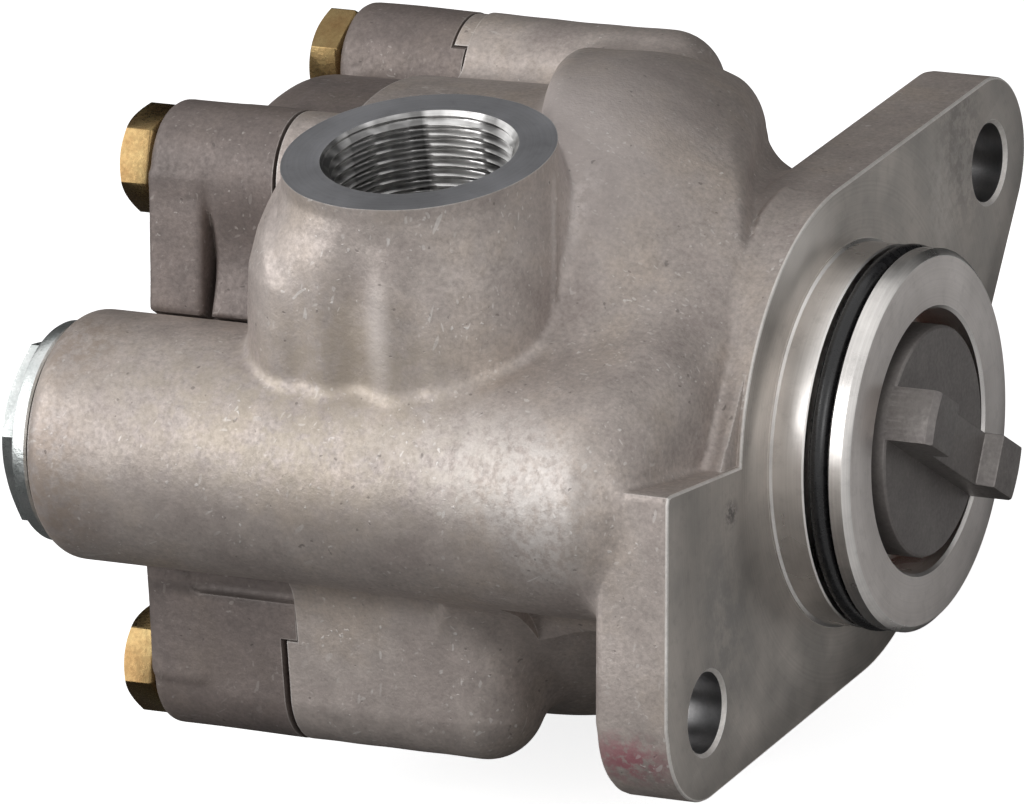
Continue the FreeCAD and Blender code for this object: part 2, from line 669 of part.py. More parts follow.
pins = []
for s in (1, -1):
    y, z = polar(s * pin_place_r, cam_minor_angle)
    pins.append(cyl_x(pin_r, parting_x - 4.4, ring_front + 5.0, y, z))
save("dowel_pins", Part.makeCompound(pins))

# Rear bush in the cover
save("rear_bush", tube_x(shaft_tail_r + 0.04, bush_bore_r, bush_out, bush_in))

# Drive shaft with coupling disc and tang in one piece
shaft = turned([(shaft_tail_x, 0), (shaft_tail_x, shaft_tail_r - 0.8), (shaft_tail_x + 0.8, shaft_tail_r),
                (ring_rear - 3.0, shaft_tail_r), (ring_rear - 3.0, rotor_seat_r),
                (-60.9, rotor_seat_r), (-60.9, 6.4), (-59.6, 6.4), (-59.6, rotor_seat_r),
                (ring_front + 0.0, rotor_seat_r), (ring_front + 0.0, shaft_mid_r), (bx0 - 1.0, shaft_mid_r),
                (bx0 - 1.0, bearing_seat_r), (bx1, bearing_seat_r), (bx1, seal_seat_r), (4.6, seal_seat_r),
                (shaft_disc_x0, 12.6), (shaft_disc_x0, shaft_disc_r - 0.4),
                (shaft_disc_x0 + 0.4, shaft_disc_r),
                (shaft_disc_x1 - 0.5, shaft_disc_r), (shaft_disc_x1, shaft_disc_r - 0.5),
                (shaft_disc_x1, 0)])
tang = box(shaft_disc_x1 - 1, tang_top, -20, 20, -tang_w / 2, tang_w / 2)
tang = tang.cut(box(tang_web_top, tang_top + 1, -tang_lug_in, tang_lug_in, -10, 10))
tang = tang.makeChamfer(0.5, [e for e in tang.Edges if abs(e.CenterOfMass.x - tang_top) < 0.01])
tang = tang.common(cyl_x(shaft_disc_r - 0.05, 0, 30))
tang.rotate(V(0, 0, 0), V(1, 0, 0), tang_angle)
shaft = shaft.fuse(tang)
save("drive_shaft", one(shaft))

# Rotor with ten slots and its circlip
rotor = cyl_x(rotor_r, ring_rear + side_gap, ring_front - side_gap)
rotor = rotor.cut(cyl_x(rotor_seat_r, ring_rear - 1, ring_front + 1))
rotor = rotor.cut(cyl_x(8.7, ring_rear - 1, ring_rear + 2.5))
for k in range(vane_count):
    a = vane_first_angle + 36.0 * k
    slot = box(ring_rear - 1, ring_front + 1, slot_bottom_r, rotor_r + 2, -vane_slot_t / 2, vane_slot_t / 2)
    slot = slot.fuse(cyl_x(slot_hole_r, ring_rear - 1, ring_front + 1, slot_bottom_r + 0.7, 0))
    slot.rotate(V(0, 0, 0), V(1, 0, 0), a)
    rotor = rotor.cut(slot)
save("rotor", one(rotor))
rotor_clip = tube_x(6.4, 8.5, -60.85, -59.65)
rotor_clip = rotor_clip.cut(prism_x([(0, 0), (4, -14), (-4, -14)], -62, -59))
save("rotor_circlip", one(rotor_clip))

# Vanes, rounded at the tip
for k in range(vane_count):
    a = vane_first_angle + 36.0 * k
    vane = box(ring_rear + side_gap, ring_front - side_gap, vane_root_r, vane_tip_r,
               -vane_t / 2, vane_t / 2)
    vane = vane.makeFillet(0.6, [e for e in vane.Edges if abs(e.CenterOfMass.y - vane_tip_r) < 0.01
                                 and abs(abs(e.CenterOfMass.z) - vane_t / 2) < 0.01])
    vane.rotate(V(0, 0, 0), V(1, 0, 0), a)
    save("vane_%02d" % (k + 1), vane)

# Flow-control spool with relief valve inside
spool = turned([(spool_rear, 0), (spool_rear, spool_r - 0.4), (spool_rear + 0.4, spool_r), (-66.5, spool_r),
                (-66.5, 6.2), (-61.0, 6.2), (-61.0, spool_r), (-58.2, spool_r), (-58.2, 7.0), (-57.6, 7.0),
                (-57.6, spool_r), (-56.0, spool_r), (-56.0, 7.0), (-55.4, 7.0), (-55.4, spool_r),
                (spool_front - 2.5, spool_r), (spool_front - 2.5, 6.4),
                (spool_front, 6.4), (spool_front, 0)],
               valve_y, valve_z)
spool = spool.cut(cyl_x(spool_pocket_r, spool_rear - 1, spool_pocket_end, valve_y, valve_z))
spool = spool.cut(cyl_x(3.2, spool_pocket_end - 1, spool_front - 6.0, valve_y, valve_z))
spool = spool.cut(cyl_x(1.2, spool_front - 7.0, spool_front + 1, valve_y, valve_z))
spool = spool.cut(cyl_z(1.4, valve_z - 10, valve_z + 10, -63.7, valve_y))
save("valve_spool", one(spool))

seat = turned([(spool_pocket_end - 1.6, 0), (spool_pocket_end - 1.6, 4.4), (spool_pocket_end, 4.4),
               (spool_pocket_end, 3.2), (spool_pocket_end + 2.0, 3.2), (spool_pocket_end + 2.0, 0)],
              valve_y, valve_z)
seat = seat.cut(cyl_x(1.0, spool_pocket_end - 3, spool_pocket_end + 3, valve_y, valve_z))
seat = seat.cut(Part.makeSphere(2.02, V(spool_pocket_end + 3.55, valve_y, valve_z)))
save("relief_seat", one(seat))
save("relief_ball", Part.makeSphere(2.0, V(spool_pocket_end + 3.57, valve_y, valve_z)))
save("relief_spring", coil(1.9, 0.35, spool_pocket_end + 5.75, spool_front - 6.02, 5, valve_y, valve_z))
save("valve_spring", coil(4.4, 0.75, -89.9, spool_pocket_end - 0.02, 7, valve_y, valve_z))

# Brass metering sleeve that stops the spool
sleeve = cyl_x(valve_bore_r, spool_front, sleeve_front, valve_y, valve_z)
sleeve = sleeve.cut(cyl_x(5.2, spool_front + 2.5, sleeve_front + 1, valve_y, valve_z))
sleeve = sleeve.cut(cyl_x(2.2, spool_front - 1, spool_front + 3, valve_y, valve_z))
save("metering_sleeve", one(sleeve))

# Valve plug with hexagon head and its O-ring
head_x0 = valve_end - plug_collar_w - plug_head_h
corner_r = plug_head_af / math.sqrt(3)
head = hex_x(plug_head_af, head_x0, valve_end - plug_collar_w + 0.1, valve_y, valve_z, plug_head_turn)
dome = turned([(head_x0, 0), (head_x0, plug_head_af / 2 - 0.1), (head_x0 + 1.0, corner_r + 0.05),
               (valve_end, corner_r + 0.05), (valve_end, 0)], valve_y, valve_z)
head = head.common(dome)
head = head.fuse(turned([(valve_end - plug_collar_w, 0), (valve_end - plug_collar_w, plug_collar_r - 0.6),
                         (valve_end - plug_collar_w + 0.6, plug_collar_r),
                         (valve_end - 0.02, plug_collar_r),
                         (valve_end - 0.02, 0)], valve_y, valve_z))
stem = turned([(valve_end - 1, 0), (valve_end - 1, plug_bore_r - 0.02),
               (plug_bore_end - 0.7, plug_bore_r - 0.02),
               (plug_bore_end, plug_bore_r - 0.7), (plug_bore_end, 0)], valve_y, valve_z)
plug = head.fuse(stem)
plug = plug.cut(cyl_x(5.5, -90.0, plug_bore_end + 1, valve_y, valve_z))
plug = plug.cut(tube_x(plug_bore_r - 1.1, plug_bore_r + 3, valve_end - 0.02, valve_end + 1.9,
                       valve_y, valve_z))
save("valve_plug", one(plug))
save("plug_o_ring", turned([(valve_end, plug_bore_r - 1.05), (valve_end, plug_bore_r + 1.2),
                            (valve_end + 0.9, plug_bore_r + 0.7),
                            (valve_end + 1.75, plug_bore_r - 0.2), (valve_end + 1.75, plug_bore_r - 1.05)],
                           valve_y, valve_z))

# Outlet orifice insert
orifice = cyl_z(orifice_r, outlet_thread_end + 0.1, outlet_thread_end + 3.0, outlet_x, outlet_y)
orifice = orifice.cut(cyl_z(1.5, -42, -30, outlet_x, outlet_y))
save("outlet_orifice", orifice)
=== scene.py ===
import json
import math

import bpy
import bmesh
import numpy as np
import openvdb
from mathutils import Matrix, Vector


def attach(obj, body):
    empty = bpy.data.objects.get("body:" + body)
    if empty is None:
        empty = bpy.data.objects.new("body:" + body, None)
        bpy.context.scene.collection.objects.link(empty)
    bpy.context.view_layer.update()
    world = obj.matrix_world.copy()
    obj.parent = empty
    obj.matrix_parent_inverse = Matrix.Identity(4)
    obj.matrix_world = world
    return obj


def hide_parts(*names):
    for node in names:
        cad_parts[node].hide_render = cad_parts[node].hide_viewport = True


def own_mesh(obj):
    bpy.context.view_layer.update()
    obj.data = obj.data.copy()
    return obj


MM = 0.001

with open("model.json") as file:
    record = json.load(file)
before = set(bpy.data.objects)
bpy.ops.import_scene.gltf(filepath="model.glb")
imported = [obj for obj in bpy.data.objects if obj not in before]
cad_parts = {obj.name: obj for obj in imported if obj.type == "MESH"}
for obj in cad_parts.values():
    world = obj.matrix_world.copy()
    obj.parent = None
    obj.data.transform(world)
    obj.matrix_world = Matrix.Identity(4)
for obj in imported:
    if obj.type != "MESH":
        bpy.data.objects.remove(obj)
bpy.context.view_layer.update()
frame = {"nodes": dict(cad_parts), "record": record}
nodes = frame["nodes"]

# Main sizes in millimetres, as in the part's source
FLANGE_T = 11.0
HUB_R = 34.6
LOBE_R = 11.9
HOLE_R = 5.5
HOLE_SPAN = 106.4
HOLE_ANGLE = math.radians(19.1)
EAR_CORNER = (-54.4, 16.4)
EAR_INNER = (-34.6, 11)
EAR_LOW = (-62.2, -14.4)
PILOT_R = 26.0
PILOT_LEN = 11.5
GROOVE_X0 = 5.0
GROOVE_X1 = 8.6
GROOVE_R = 23.6
MOUTH_R = 18.0
MOUTH_FROM = 3.6
PARTING_X = -68.0
BARREL_R = 42.6
CHAMBER_R = 28.8
SEAL_BORE_R = 17.5
SHAFT_BORE_R = 10.0
BUSH_R = 8.5
COLUMN_R = 8.5
COLUMN_END = -33.0
BOLTS = [(35.3, 31), (-19.4, 40.6), (-36, -27), (19.4, -41)]
BOLT_TURNS = [22, 3, 2, 12]
BOLT_AF = 13.0
BOLT_HEAD = 5.3
BOLT_LEN = 28.0
BOLT_R = 3.98
THREAD_CORE_R = 3.4
TAP_R = 4.0
CLEAR_R = 4.4
VALVE_Y = -42.0
VALVE_Z = 9.6
VALVE_R = 17.0
VALVE_END = -95.2
SPOOL_R = 7.5
NOSE_FRONT = -3.4
NOSE_ROUND = 7.5
INLET_X = -45.1
INLET_Y = -28.5
INLET_TOP = 50.1
INLET_MINOR_R = 12.2
PORT_PITCH = 1.5
OUTLET_X = -33.0
OUTLET_Y = 18.0
OUTLET_FACE = -48.0
OUTLET_BOSS_R = 12.5
OUTLET_FACE_R = 12.9
OUTLET_MINOR_R = 8.2
COVER_BACK = -87.7
COVER_RING_R = 40.6
JOINT_R = 39.4
COVER_WALL_TOP = -12.5
TOOTH_R = 8.3
TOOTH_LOW = 6.5
HOUSING_WALL_TOP = 3.0
WALL_LEAN = 0.1
PLUG_AF = 23.9
PLUG_TURN = 39.0
PLUG_HEAD = 5.2
PLUG_STEM_R = 9.18
# Springs: mean and wire radius, both ends along the shaft, number of turns
VALVE_SPRING = (4.4, 0.75, -89.9, -68.02, 7)
RELIEF_SPRING = (1.9, 0.35, -62.25, -54.02, 5)
SPOOL_TRAVEL = 7.5
RELIEF_LIFT = 0.8
DISC_R = 15.75
DISC_X = 12.2
TANG_ANGLE = math.radians(-40)
TANG_HALF = 3.7
FIELD_STEP = 0.5
# How near a face's centre lies to a machined plane that it belongs to
ON_FACE = 0.02
HOLE_Y = HOLE_SPAN / 2 * math.cos(HOLE_ANGLE)
HOLE_Z = HOLE_SPAN / 2 * math.sin(HOLE_ANGLE)


# Mesh tools
def new_object(name, mesh):
    obj = bpy.data.objects.new(name, mesh)
    bpy.context.scene.collection.objects.link(obj)
    return obj


def mesh_from(name, verts, faces):
    """Closed mesh in metres from millimetre points, with its faces turned outward."""
    mesh = bpy.data.meshes.new(name)
    mesh.from_pydata([tuple(MM * float(c) for c in v) for v in verts], [], faces)
    bm = bmesh.new()
    bm.from_mesh(mesh)
    bmesh.ops.recalc_face_normals(bm, faces=bm.faces)
    bm.to_mesh(mesh)
    bm.free()
    return mesh


def place(along, u, v, centre, axis):
    """Point from its position along an axis, X or Z, and across it."""
    x, y, z = (along, u, v) if axis == "X" else (u, v, along)
    return (centre[0] + x, centre[1] + y, centre[2] + z)


def lathe(name, profile, centre=(0, 0, 0), axis="X", segments=160):
    """Solid of revolution; profile holds (position along the axis, radius), a closed one makes a ring."""
    closed = profile[0] == profile[-1]
    if closed:
        profile = profile[:-1]
    verts, faces, rings = [], [], []
    for along, radius in profile:
        if radius < 1e-6:
            rings.append([len(verts)])
            verts.append(place(along, 0, 0, centre, axis))
            continue
        ring = []
        for k in range(segments):
            a = 2 * math.pi * k / segments
            ring.append(len(verts))
            verts.append(place(along, radius * math.cos(a), radius * math.sin(a), centre, axis))
        rings.append(ring)
    pairs = list(zip(rings, rings[1:]))
    if closed:
        pairs.append((rings[-1], rings[0]))
    for lower, upper in pairs:
        for k in range(segments):
            steps = ((lower, k), (upper, k), (upper, (k + 1) % segments), (lower, (k + 1) % segments))
            corners = tuple(dict.fromkeys(around[i % len(around)] for around, i in steps))
            if len(corners) > 2:
                faces.append(corners)
    if not closed and len(rings[0]) > 1:
        faces.append(tuple(rings[0]))
    if not closed and len(rings[-1]) > 1:
        faces.append(tuple(reversed(rings[-1])))
    return mesh_from(name, verts, faces)


def band(name, x0, x1, r0, r1, centre=(0, 0, 0), segments=160):
    return lathe(name, [(x0, r0), (x1, r0), (x1, r1), (x0, r1), (x0, r0)], centre, "X", segments)


def rod(name, radius, a, b, centre=(0, 0, 0), axis="X", segments=96):
    return lathe(name, [(a, 0), (a, radius), (b, radius), (b, 0)], centre, axis, segments)


def tube(name, rings):
    """Solid through closed rings of points, all with the same number of points."""
    n = len(rings[0])
    last = (len(rings) - 1) * n
    faces = [tuple(range(n)), tuple(range(last + n - 1, last - 1, -1))]
    for row in range(0, last, n):
        for k in range(n):
            m = (k + 1) % n
            faces.append((row + k, row + m, row + n + m, row + n + k))
    return mesh_from(name, [point for ring in rings for point in ring], faces)


def layered(name, layers):
    """Solid along X; layers holds (x, [(y, z), ...])."""
    return tube(name, [[(x, y, z) for y, z in points] for x, points in layers])


def block(name, x0, x1, y0, y1, z0, z1):
    corners = [(y0, z0), (y1, z0), (y1, z1), (y0, z1)]
    return layered(name, [(x0, corners), (x1, corners)])


def arc(centre, radius, start, end, count):
    angles = [math.radians(start + (end - start) * k / (count - 1)) for k in range(count)]
    return [(centre[0] + radius * math.cos(a), centre[1] + radius * math.sin(a)) for a in angles]


def hexagon(af, turn, centre):
    return arc(centre, af / math.sqrt(3), turn, turn + 300, 6)


def applied(obj):
    """Replace an object's mesh by its evaluated one and drop its modifiers."""
    graph = bpy.context.evaluated_depsgraph_get()
    mesh = bpy.data.meshes.new_from_object(obj.evaluated_get(graph))
    old = obj.data
    obj.modifiers.clear()
    obj.data = mesh
    bpy.data.meshes.remove(old)


def combine(obj, meshes, operation="DIFFERENCE"):
    """Boolean of an object with a list of meshes, which are used up."""
    for mesh in meshes:
        other = new_object("cutter", mesh)
        mod = obj.modifiers.new("cut", "BOOLEAN")
        mod.operation = operation
        mod.solver = "MANIFOLD"
        mod.object = other
        applied(obj)
        bpy.data.objects.remove(other)
        bpy.data.meshes.remove(mesh)


def bevelled(obj, width, segments=2, angle=30.0):
    """Round the sharp edges of a simple mesh by a width in millimetres."""
    mod = obj.modifiers.new("bevel", "BEVEL")
    mod.width = width * MM
    mod.segments = segments
    mod.limit_method = "ANGLE"
    mod.angle_limit = math.radians(angle)
    applied(obj)


def taken(obj):
    """Give up an object and hand back its mesh."""
    mesh = obj.data
    bpy.data.objects.remove(obj)
    return mesh


def joined(name, objects):
    """One object out of several, side by side in one mesh."""
    bm = bmesh.new()
    for obj in objects:
        mesh = taken(obj)
        bm.from_mesh(mesh)
        bpy.data.meshes.remove(mesh)
    mesh = bpy.data.meshes.new(name)
    bm.to_mesh(mesh)
    bm.free()
    return new_object(name, mesh)


def finished(obj, angle=35.0):
    """Smooth shading with the sharp edges kept."""
    for poly in obj.data.polygons:
        poly.use_smooth = True
    obj.data.set_sharp_from_angle(angle=math.radians(angle))


def threaded(name, minor_r, depth, pitch, start, end, centre, axis="Z", segments=96):
    """Cylinder with a rounded helical ridge, which fades in over its first turn."""
    rows_per_turn = 10
    rows = int(round((end - start) / pitch * rows_per_turn))
    rings = []
    for i in range(rows + 1):
        along = start + (end - start) * i / rows
        fade = min(1, (along - start) / (1.2 * pitch))
        ring = []
        for k in range(segments):
            a = 2 * math.pi * k / segments
            phase = (along / pitch - k / segments) % 1.0
            ridge = max(0, min(1, 1.35 - 2.7 * abs(phase - 0.5)))
            r = minor_r + depth * ridge * fade
            ring.append(place(along, r * math.cos(a), r * math.sin(a), centre, axis))
        rings.append(ring)
    return tube(name, rings)


# Distance fields for the castings
def soft_union(a, b, r):
    """Union with a round fillet of radius r."""
    return np.maximum(r, np.minimum(a, b)) - np.hypot(np.maximum(r - a, 0), np.maximum(r - b, 0))


def soft_cross(a, b, r):
    """Intersection with a rounded edge of radius r."""
    return np.minimum(-r, np.maximum(a, b)) + np.hypot(np.maximum(r + a, 0), np.maximum(r + b, 0))


def eased(value, low, high):
    t = np.clip((value - low) / (high - low), 0, 1)
    return t * t * (3 - 2 * t)


def polygon_distance(p, q, points):
    """Signed distance to a polygon, negative inside."""
    best = np.full(np.broadcast(p, q).shape, 1e9, dtype=np.float32)
    inside = np.zeros(best.shape, dtype=bool)
    n = len(points)
    for k in range(n):
        ax, ay = points[k]
        bx, by = points[(k + 1) % n]
        ex, ey = bx - ax, by - ay
        wx, wy = p - ax, q - ay
        t = np.clip((wx * ex + wy * ey) / (ex * ex + ey * ey), 0, 1)
        best = np.minimum(best, (wx - t * ex) ** 2 + (wy - t * ey) ** 2)
        rise = by - ay if by != ay else 1e-9
        inside ^= ((ay > q) != (by > q)) & (p < ex * (q - ay) / rise + ax)
    return np.where(inside, -1, 1) * np.sqrt(best)


def turned_distance(x, r, points):
    """Distance to a smooth surface of revolution through (x, radius) points."""
    xs, rs = np.array(points, dtype=np.float64).T
    slopes = np.gradient(rs, xs)
    flat = x.reshape(-1).astype(np.float64)
    k = np.clip(np.searchsorted(xs, flat) - 1, 0, len(xs) - 2)
    h = xs[k + 1] - xs[k]
    t = np.clip((flat - xs[k]) / h, 0, 1)
    value = ((1 + 2 * t) * (1 - t) ** 2 * rs[k] + t * (1 - t) ** 2 * h * slopes[k]
             + t * t * (3 - 2 * t) * rs[k + 1] + t * t * (t - 1) * h * slopes[k + 1])
    lean = 1 / np.sqrt(1 + np.interp(flat, xs, slopes) ** 2)
    shape = x.shape
    return (r - value.reshape(shape).astype(np.float32)) * lean.reshape(shape).astype(np.float32)


def tangent_strip(c0, r0, c1, r1):
    """Corners of the strip that touches two circles on both sides."""
    dy, dz = c1[0] - c0[0], c1[1] - c0[1]
    base = math.atan2(dz, dy)
    lean = math.acos((r0 - r1) / math.hypot(dy, dz))
    touches = ((c0, r0, lean), (c1, r1, lean), (c1, r1, -lean), (c0, r0, -lean))
    return [(c[0] + r * math.cos(base + a), c[1] + r * math.sin(base + a)) for c, r, a in touches]


def flange_outline(y, z):
    """Signed distance to the flange's outline in its own plane."""
    d = np.hypot(y, z) - HUB_R
    for s in (1, -1):
        c = (s * HOLE_Y, s * HOLE_Z)
        d = np.minimum(d, np.hypot(y - c[0], z - c[1]) - LOBE_R)
        d = np.minimum(d, polygon_distance(y, z, tangent_strip((0, 0), HUB_R, c, LOBE_R)))
    ear = [EAR_LOW, EAR_CORNER, EAR_INNER, (-20, 0), (-HOLE_Y, -HOLE_Z)]
    return np.minimum(d, polygon_distance(y, z, ear))


BARREL = [(-80, BARREL_R), (-68, BARREL_R), (-55, 42.7), (-42, 42.7), (-32, 41.8), (-22, 38.4), (-14, 34.4),
          (-9, 32.6), (0, 31)]
SWELL = [(-56, 44.6), (-40, 45.4), (-30, 45.2), (-23, 43), (-15, 38.4), (-9, 35), (-5.6, 33.3)]
SWELL_PLAN = [(-60.3, 60), (-48, 22.5), (-38, -8.1), (-21.5, -58.6), (-5.6, -58.6), (-5.6, -14), (-7.4, -9.6),
              (-11.3, 0), (-19.3, 22), (-25.8, 35), (-37.2, 60)]
# Height, four half-widths and two corner radii of the inlet boss
INLET = [(0, 22.6, 20.6, 22.6, 20, 11, 15), (8, 22.6, 20.6, 22.6, 20, 11, 15),
         (24, 22.4, 20.4, 22, 19.6, 11, 15.5), (32, 21.8, 20, 21, 19.2, 11.4, 16.4),
         (38, 21.2, 19.5, 20.2, 19, 12.4, 17.2), (42, 20.2, 19, 19.5, 18.8, 14, 17.9),
         (45, 19.2, 18.7, 18.9, 18.6, 16.4, 18.2), (48, 18.6, 18.5, 18.6, 18.5, 18.2, 18.4),
         (54, 18.5, 18.5, 18.5, 18.5, 18.45, 18.45)]
# Where the web's front face meets the hub: height and position along the shaft
CREASE = [(8, -3.3), (10, -3.4), (26, -4.8), (30, -5), (33.5, -5.7), (34.5, -6.6)]


def inlet_distance(x, y, z):
    rows = np.array(INLET)
    heights = z.reshape(-1)
    left, right, front, back, corner_l, corner_r = [
        np.interp(heights, rows[:, 0], rows[:, k]).reshape(z.shape).astype(np.float32) for k in range(1, 7)]
    px, py = x - INLET_X, y - INLET_Y
    ax = np.where(px > 0, right, left)
    ay = np.where(py > 0, back, front)
    r = np.where((px < 0) & (py < 0), corner_l, corner_r)
    qx, qy = np.abs(px) - ax + r, np.abs(py) - ay + r
    d = np.minimum(np.maximum(qx, qy), 0) + np.hypot(np.maximum(qx, 0), np.maximum(qy, 0)) - r
    # flash line down the side that faces the flange, and a shallow upright ridge in front
    line = (y + 25.3 + 0.478 * (48 - z)) * 0.902
    tall = eased(z, 24, 29) * eased(-z, -49, -46)
    d = d - 0.5 * np.clip(1 - np.abs(line) / 0.7, 0, 1) * tall * eased(x, -38, -34)
    # slanting step between the neck and the left front corner
    past = -0.458 * (x + 61.5) + 0.458 * (y + 40.5) - 0.763 * (z - 45.4)
    step = 0.75 * eased(past, -0.5, 0.5) * (1 - eased(past, 1.5, 15))
    d = d - step * eased(-px, 9, 15) * eased(-z, -47.5, -44.5)
    # two upright ridges in front
    wave = np.cos((x + 42) * 2 * math.pi / 9.8) * eased(x, -58, -53) * eased(-x, 34, 39)
    return d - 0.5 * wave * eased(z, 18, 25) * eased(-z, -46, -37) * eased(-y, 38, 44)


def waviness(x, y, z):
    """Slow unevenness of a cast wall, in millimetres."""
    slow = np.sin(0.21 * x + 0.9 * np.sin(0.17 * z)) * np.sin(0.19 * y + 1.3)
    quick = np.sin(0.47 * z + 0.3 * x) * np.sin(0.43 * x - 0.35 * y + 0.7)
    return 0.09 * slow + 0.05 * quick


def column_side(y, z, k, wall_top):
    """Side surface of a bolt column; the low one carries an upright wall that leans a little inward."""
    by, bz = BOLTS[k]
    if k == 2:
        outline = arc((by, bz), COLUMN_R, 180, 360, 25)
        outline += [(by + COLUMN_R, 40), (by - COLUMN_R + WALL_LEAN * (40 - bz), 40)]
        return np.maximum(polygon_distance(y, z, outline), z - wall_top)
    return np.hypot(y - by, z - bz) - COLUMN_R


def housing_distance(x, y, z):
    around = np.hypot(y, z)
    d = np.maximum(turned_distance(x, around, BARREL), x + 4)
    swell = turned_distance(x, np.hypot(y - 1, z - 3), SWELL)
    edge = (3.2 - 1.9 * eased(x, -17, -9)).astype(np.float32)
    swell = soft_cross(swell, polygon_distance(x, y, SWELL_PLAN), edge)
    swell = soft_cross(swell, -10 - z, 3)
    d = soft_union(d, swell, 2.2)
    for k in range(len(BOLTS)):
        column = column_side(y, z, k, HOUSING_WALL_TOP)
        d = soft_union(d, soft_cross(column, x - COLUMN_END, 7.4), 3.5)
    valve = np.hypot(y - VALVE_Y, z - VALVE_Z) - VALVE_R
    strip = polygon_distance(y, z, tangent_strip((0, 0), HUB_R - 1, (VALVE_Y, VALVE_Z), VALVE_R))
    side = np.minimum(valve, np.maximum(strip, -40 - x))
    face = x - (NOSE_FRONT - 0.09 * np.maximum(0, z - 14) - 0.13 * np.maximum(0, -35.5 - y))
    side = soft_cross(side, face, NOSE_ROUND)
    d = soft_union(d, side, 4.5)
    boss = np.maximum(inlet_distance(x, y, z), 4 - z)
    boss = np.maximum(boss, z - (INLET_TOP + 1.5))
    d = soft_union(d, boss, 1.1)
    outlet_r = np.hypot(x - OUTLET_X, y - OUTLET_Y)
    outlet = np.maximum(outlet_r - (OUTLET_BOSS_R + 0.075 * (z - OUTLET_FACE)), OUTLET_FACE - 0.4 - z)
    outlet = np.maximum(outlet, z + 20)
    d = soft_union(d, outlet, 3)
    crease = np.hypot(around - HUB_R + 0.1, x - np.interp(z, *zip(*CREASE)))
    crease = np.maximum(crease - 0.7, np.maximum(8.0 - z, y - 2))
    d = np.minimum(d, crease)
    d = d + waviness(x, y, z) * eased(-x, 9, 14)
    plate = soft_cross(flange_outline(y, z) + 0.12, -FLANGE_T - x, 1.6)
    plate = np.maximum(plate, x + 0.7)
    d = soft_union(d, plate, (0.9 + 2.3 * eased(-9 - x, 0, 3)).astype(np.float32))
    # behind the parting plane only the valve cylinder goes on
    d = np.maximum(d, np.maximum(PARTING_X - 1.2 - x, -49.4 - z))
    tail = soft_cross(valve, VALVE_END - x, 3.4)
    tail = np.maximum(tail, x + 30)
    return np.minimum(d, tail)


def cover_distance(x, y, z):
    around = np.hypot(y, z)
    valve_r = np.hypot(y - VALVE_Y, z - VALVE_Z)
    d = soft_cross(np.hypot(y - 2.8, z - 3.2) - 37.4, (COVER_BACK + 1.8) - x, 4)
    # the slot between the side web and the ring opens downward
    slot = np.clip(1.25 * (41 - z) / 17, 0, 1.5)
    ring = soft_cross(around - COVER_RING_R, (-79.4 + slot) - x, 0.8)
    d = soft_union(d, ring, 1.2)
    d = np.maximum(d, x - (PARTING_X + 0.4))
    wall_top = COVER_WALL_TOP + 10 * (1 - eased(x, -83.4, -79.8))
    for k in range(len(BOLTS)):
        column = soft_cross(column_side(y, z, k, wall_top), COVER_BACK - x, 1.7)
        blend = 2.0 + 9.0 * eased(x, -80.5, -77.5) if k == 1 else 1.2 if k == 2 else 3.0
        d = soft_union(d, column, blend)
    web = polygon_distance(y, z, tangent_strip(BOLTS[1], COLUMN_R, BOLTS[2], COLUMN_R))
    web = soft_cross(web, np.abs(x - (COVER_BACK + 4.2)) - 4.2, 0.9)
    low_y, low_z = BOLTS[2]
    recess = low_y - COLUMN_R + 0.9 + WALL_LEAN * (z - low_z)
    recess = np.maximum(recess - y, np.maximum(low_z - z, y - (low_y + 3)))
    recess = np.maximum(np.maximum(recess, z + 2), (COVER_BACK + 3) - x)
    web = soft_union(web, recess, 2.5)
    d = soft_union(d, web, 0.8)
    far = polygon_distance(y, z, tangent_strip(BOLTS[3], COLUMN_R - 1.5, BOLTS[0], COLUMN_R - 1.5))
    far = soft_cross(far, np.abs(x - (COVER_BACK + 8.2)) - 4.2, 1.5)
    d = soft_union(d, far, 2)
    d = d + 0.7 * waviness(y, x, z)
    d = np.maximum(d, x - (PARTING_X + 5))
    relief = np.minimum(VALVE_R + 0.45 - valve_r, np.maximum(around - 32.2, PARTING_X - 7 - x))
    return np.maximum(d, relief)


def skin(name, distance, lows, highs, step):
    """Smooth closed mesh on the zero surface of a distance field."""
    counts = [int(math.ceil((b - a) / step)) + 1 for a, b in zip(lows, highs)]
    axes = [np.float32(a) + np.float32(step) * np.arange(n, dtype=np.float32) for a, n in zip(lows, counts)]
    x, y, z = np.meshgrid(*axes, indexing="ij", sparse=True)
    field = np.empty(counts, dtype=np.float32)
    slab = 24
    for start in range(0, counts[0], slab):
        field[start:start + slab] = distance(x[start:start + slab], y, z)
    limit = 3 * step
    np.clip(field, -limit, limit, out=field)
    for axis in range(3):
        np.moveaxis(field, axis, 0)[[0, -1]] = limit
    grid = openvdb.FloatGrid(limit)
    grid.copyFromArray(field)
    points, tris, quads = grid.convertToPolygons(isovalue=0.0, adaptivity=0.0)
    verts = np.asarray(points, dtype=np.float64) * step + np.array(lows)
    mesh = bpy.data.meshes.new(name)
    mesh.from_pydata((verts * MM).tolist(), [], quads.tolist() + tris.tolist())
    bm = bmesh.new()
    bm.from_mesh(mesh)
    if bm.calc_volume(signed=True) < 0:
        bmesh.ops.reverse_faces(bm, faces=bm.faces)
    bm.to_mesh(mesh)
    bm.free()
    obj = new_object(name, mesh)
    smooth = obj.modifiers.new("smooth", "SMOOTH")
    smooth.factor = 0.5
    smooth.iterations = 2
    applied(obj)
    return obj


# Mounting flange's front, with a crisp outline
def moved(point, way, share):
    return (point[0] + share * way[0], point[1] + share * way[1])


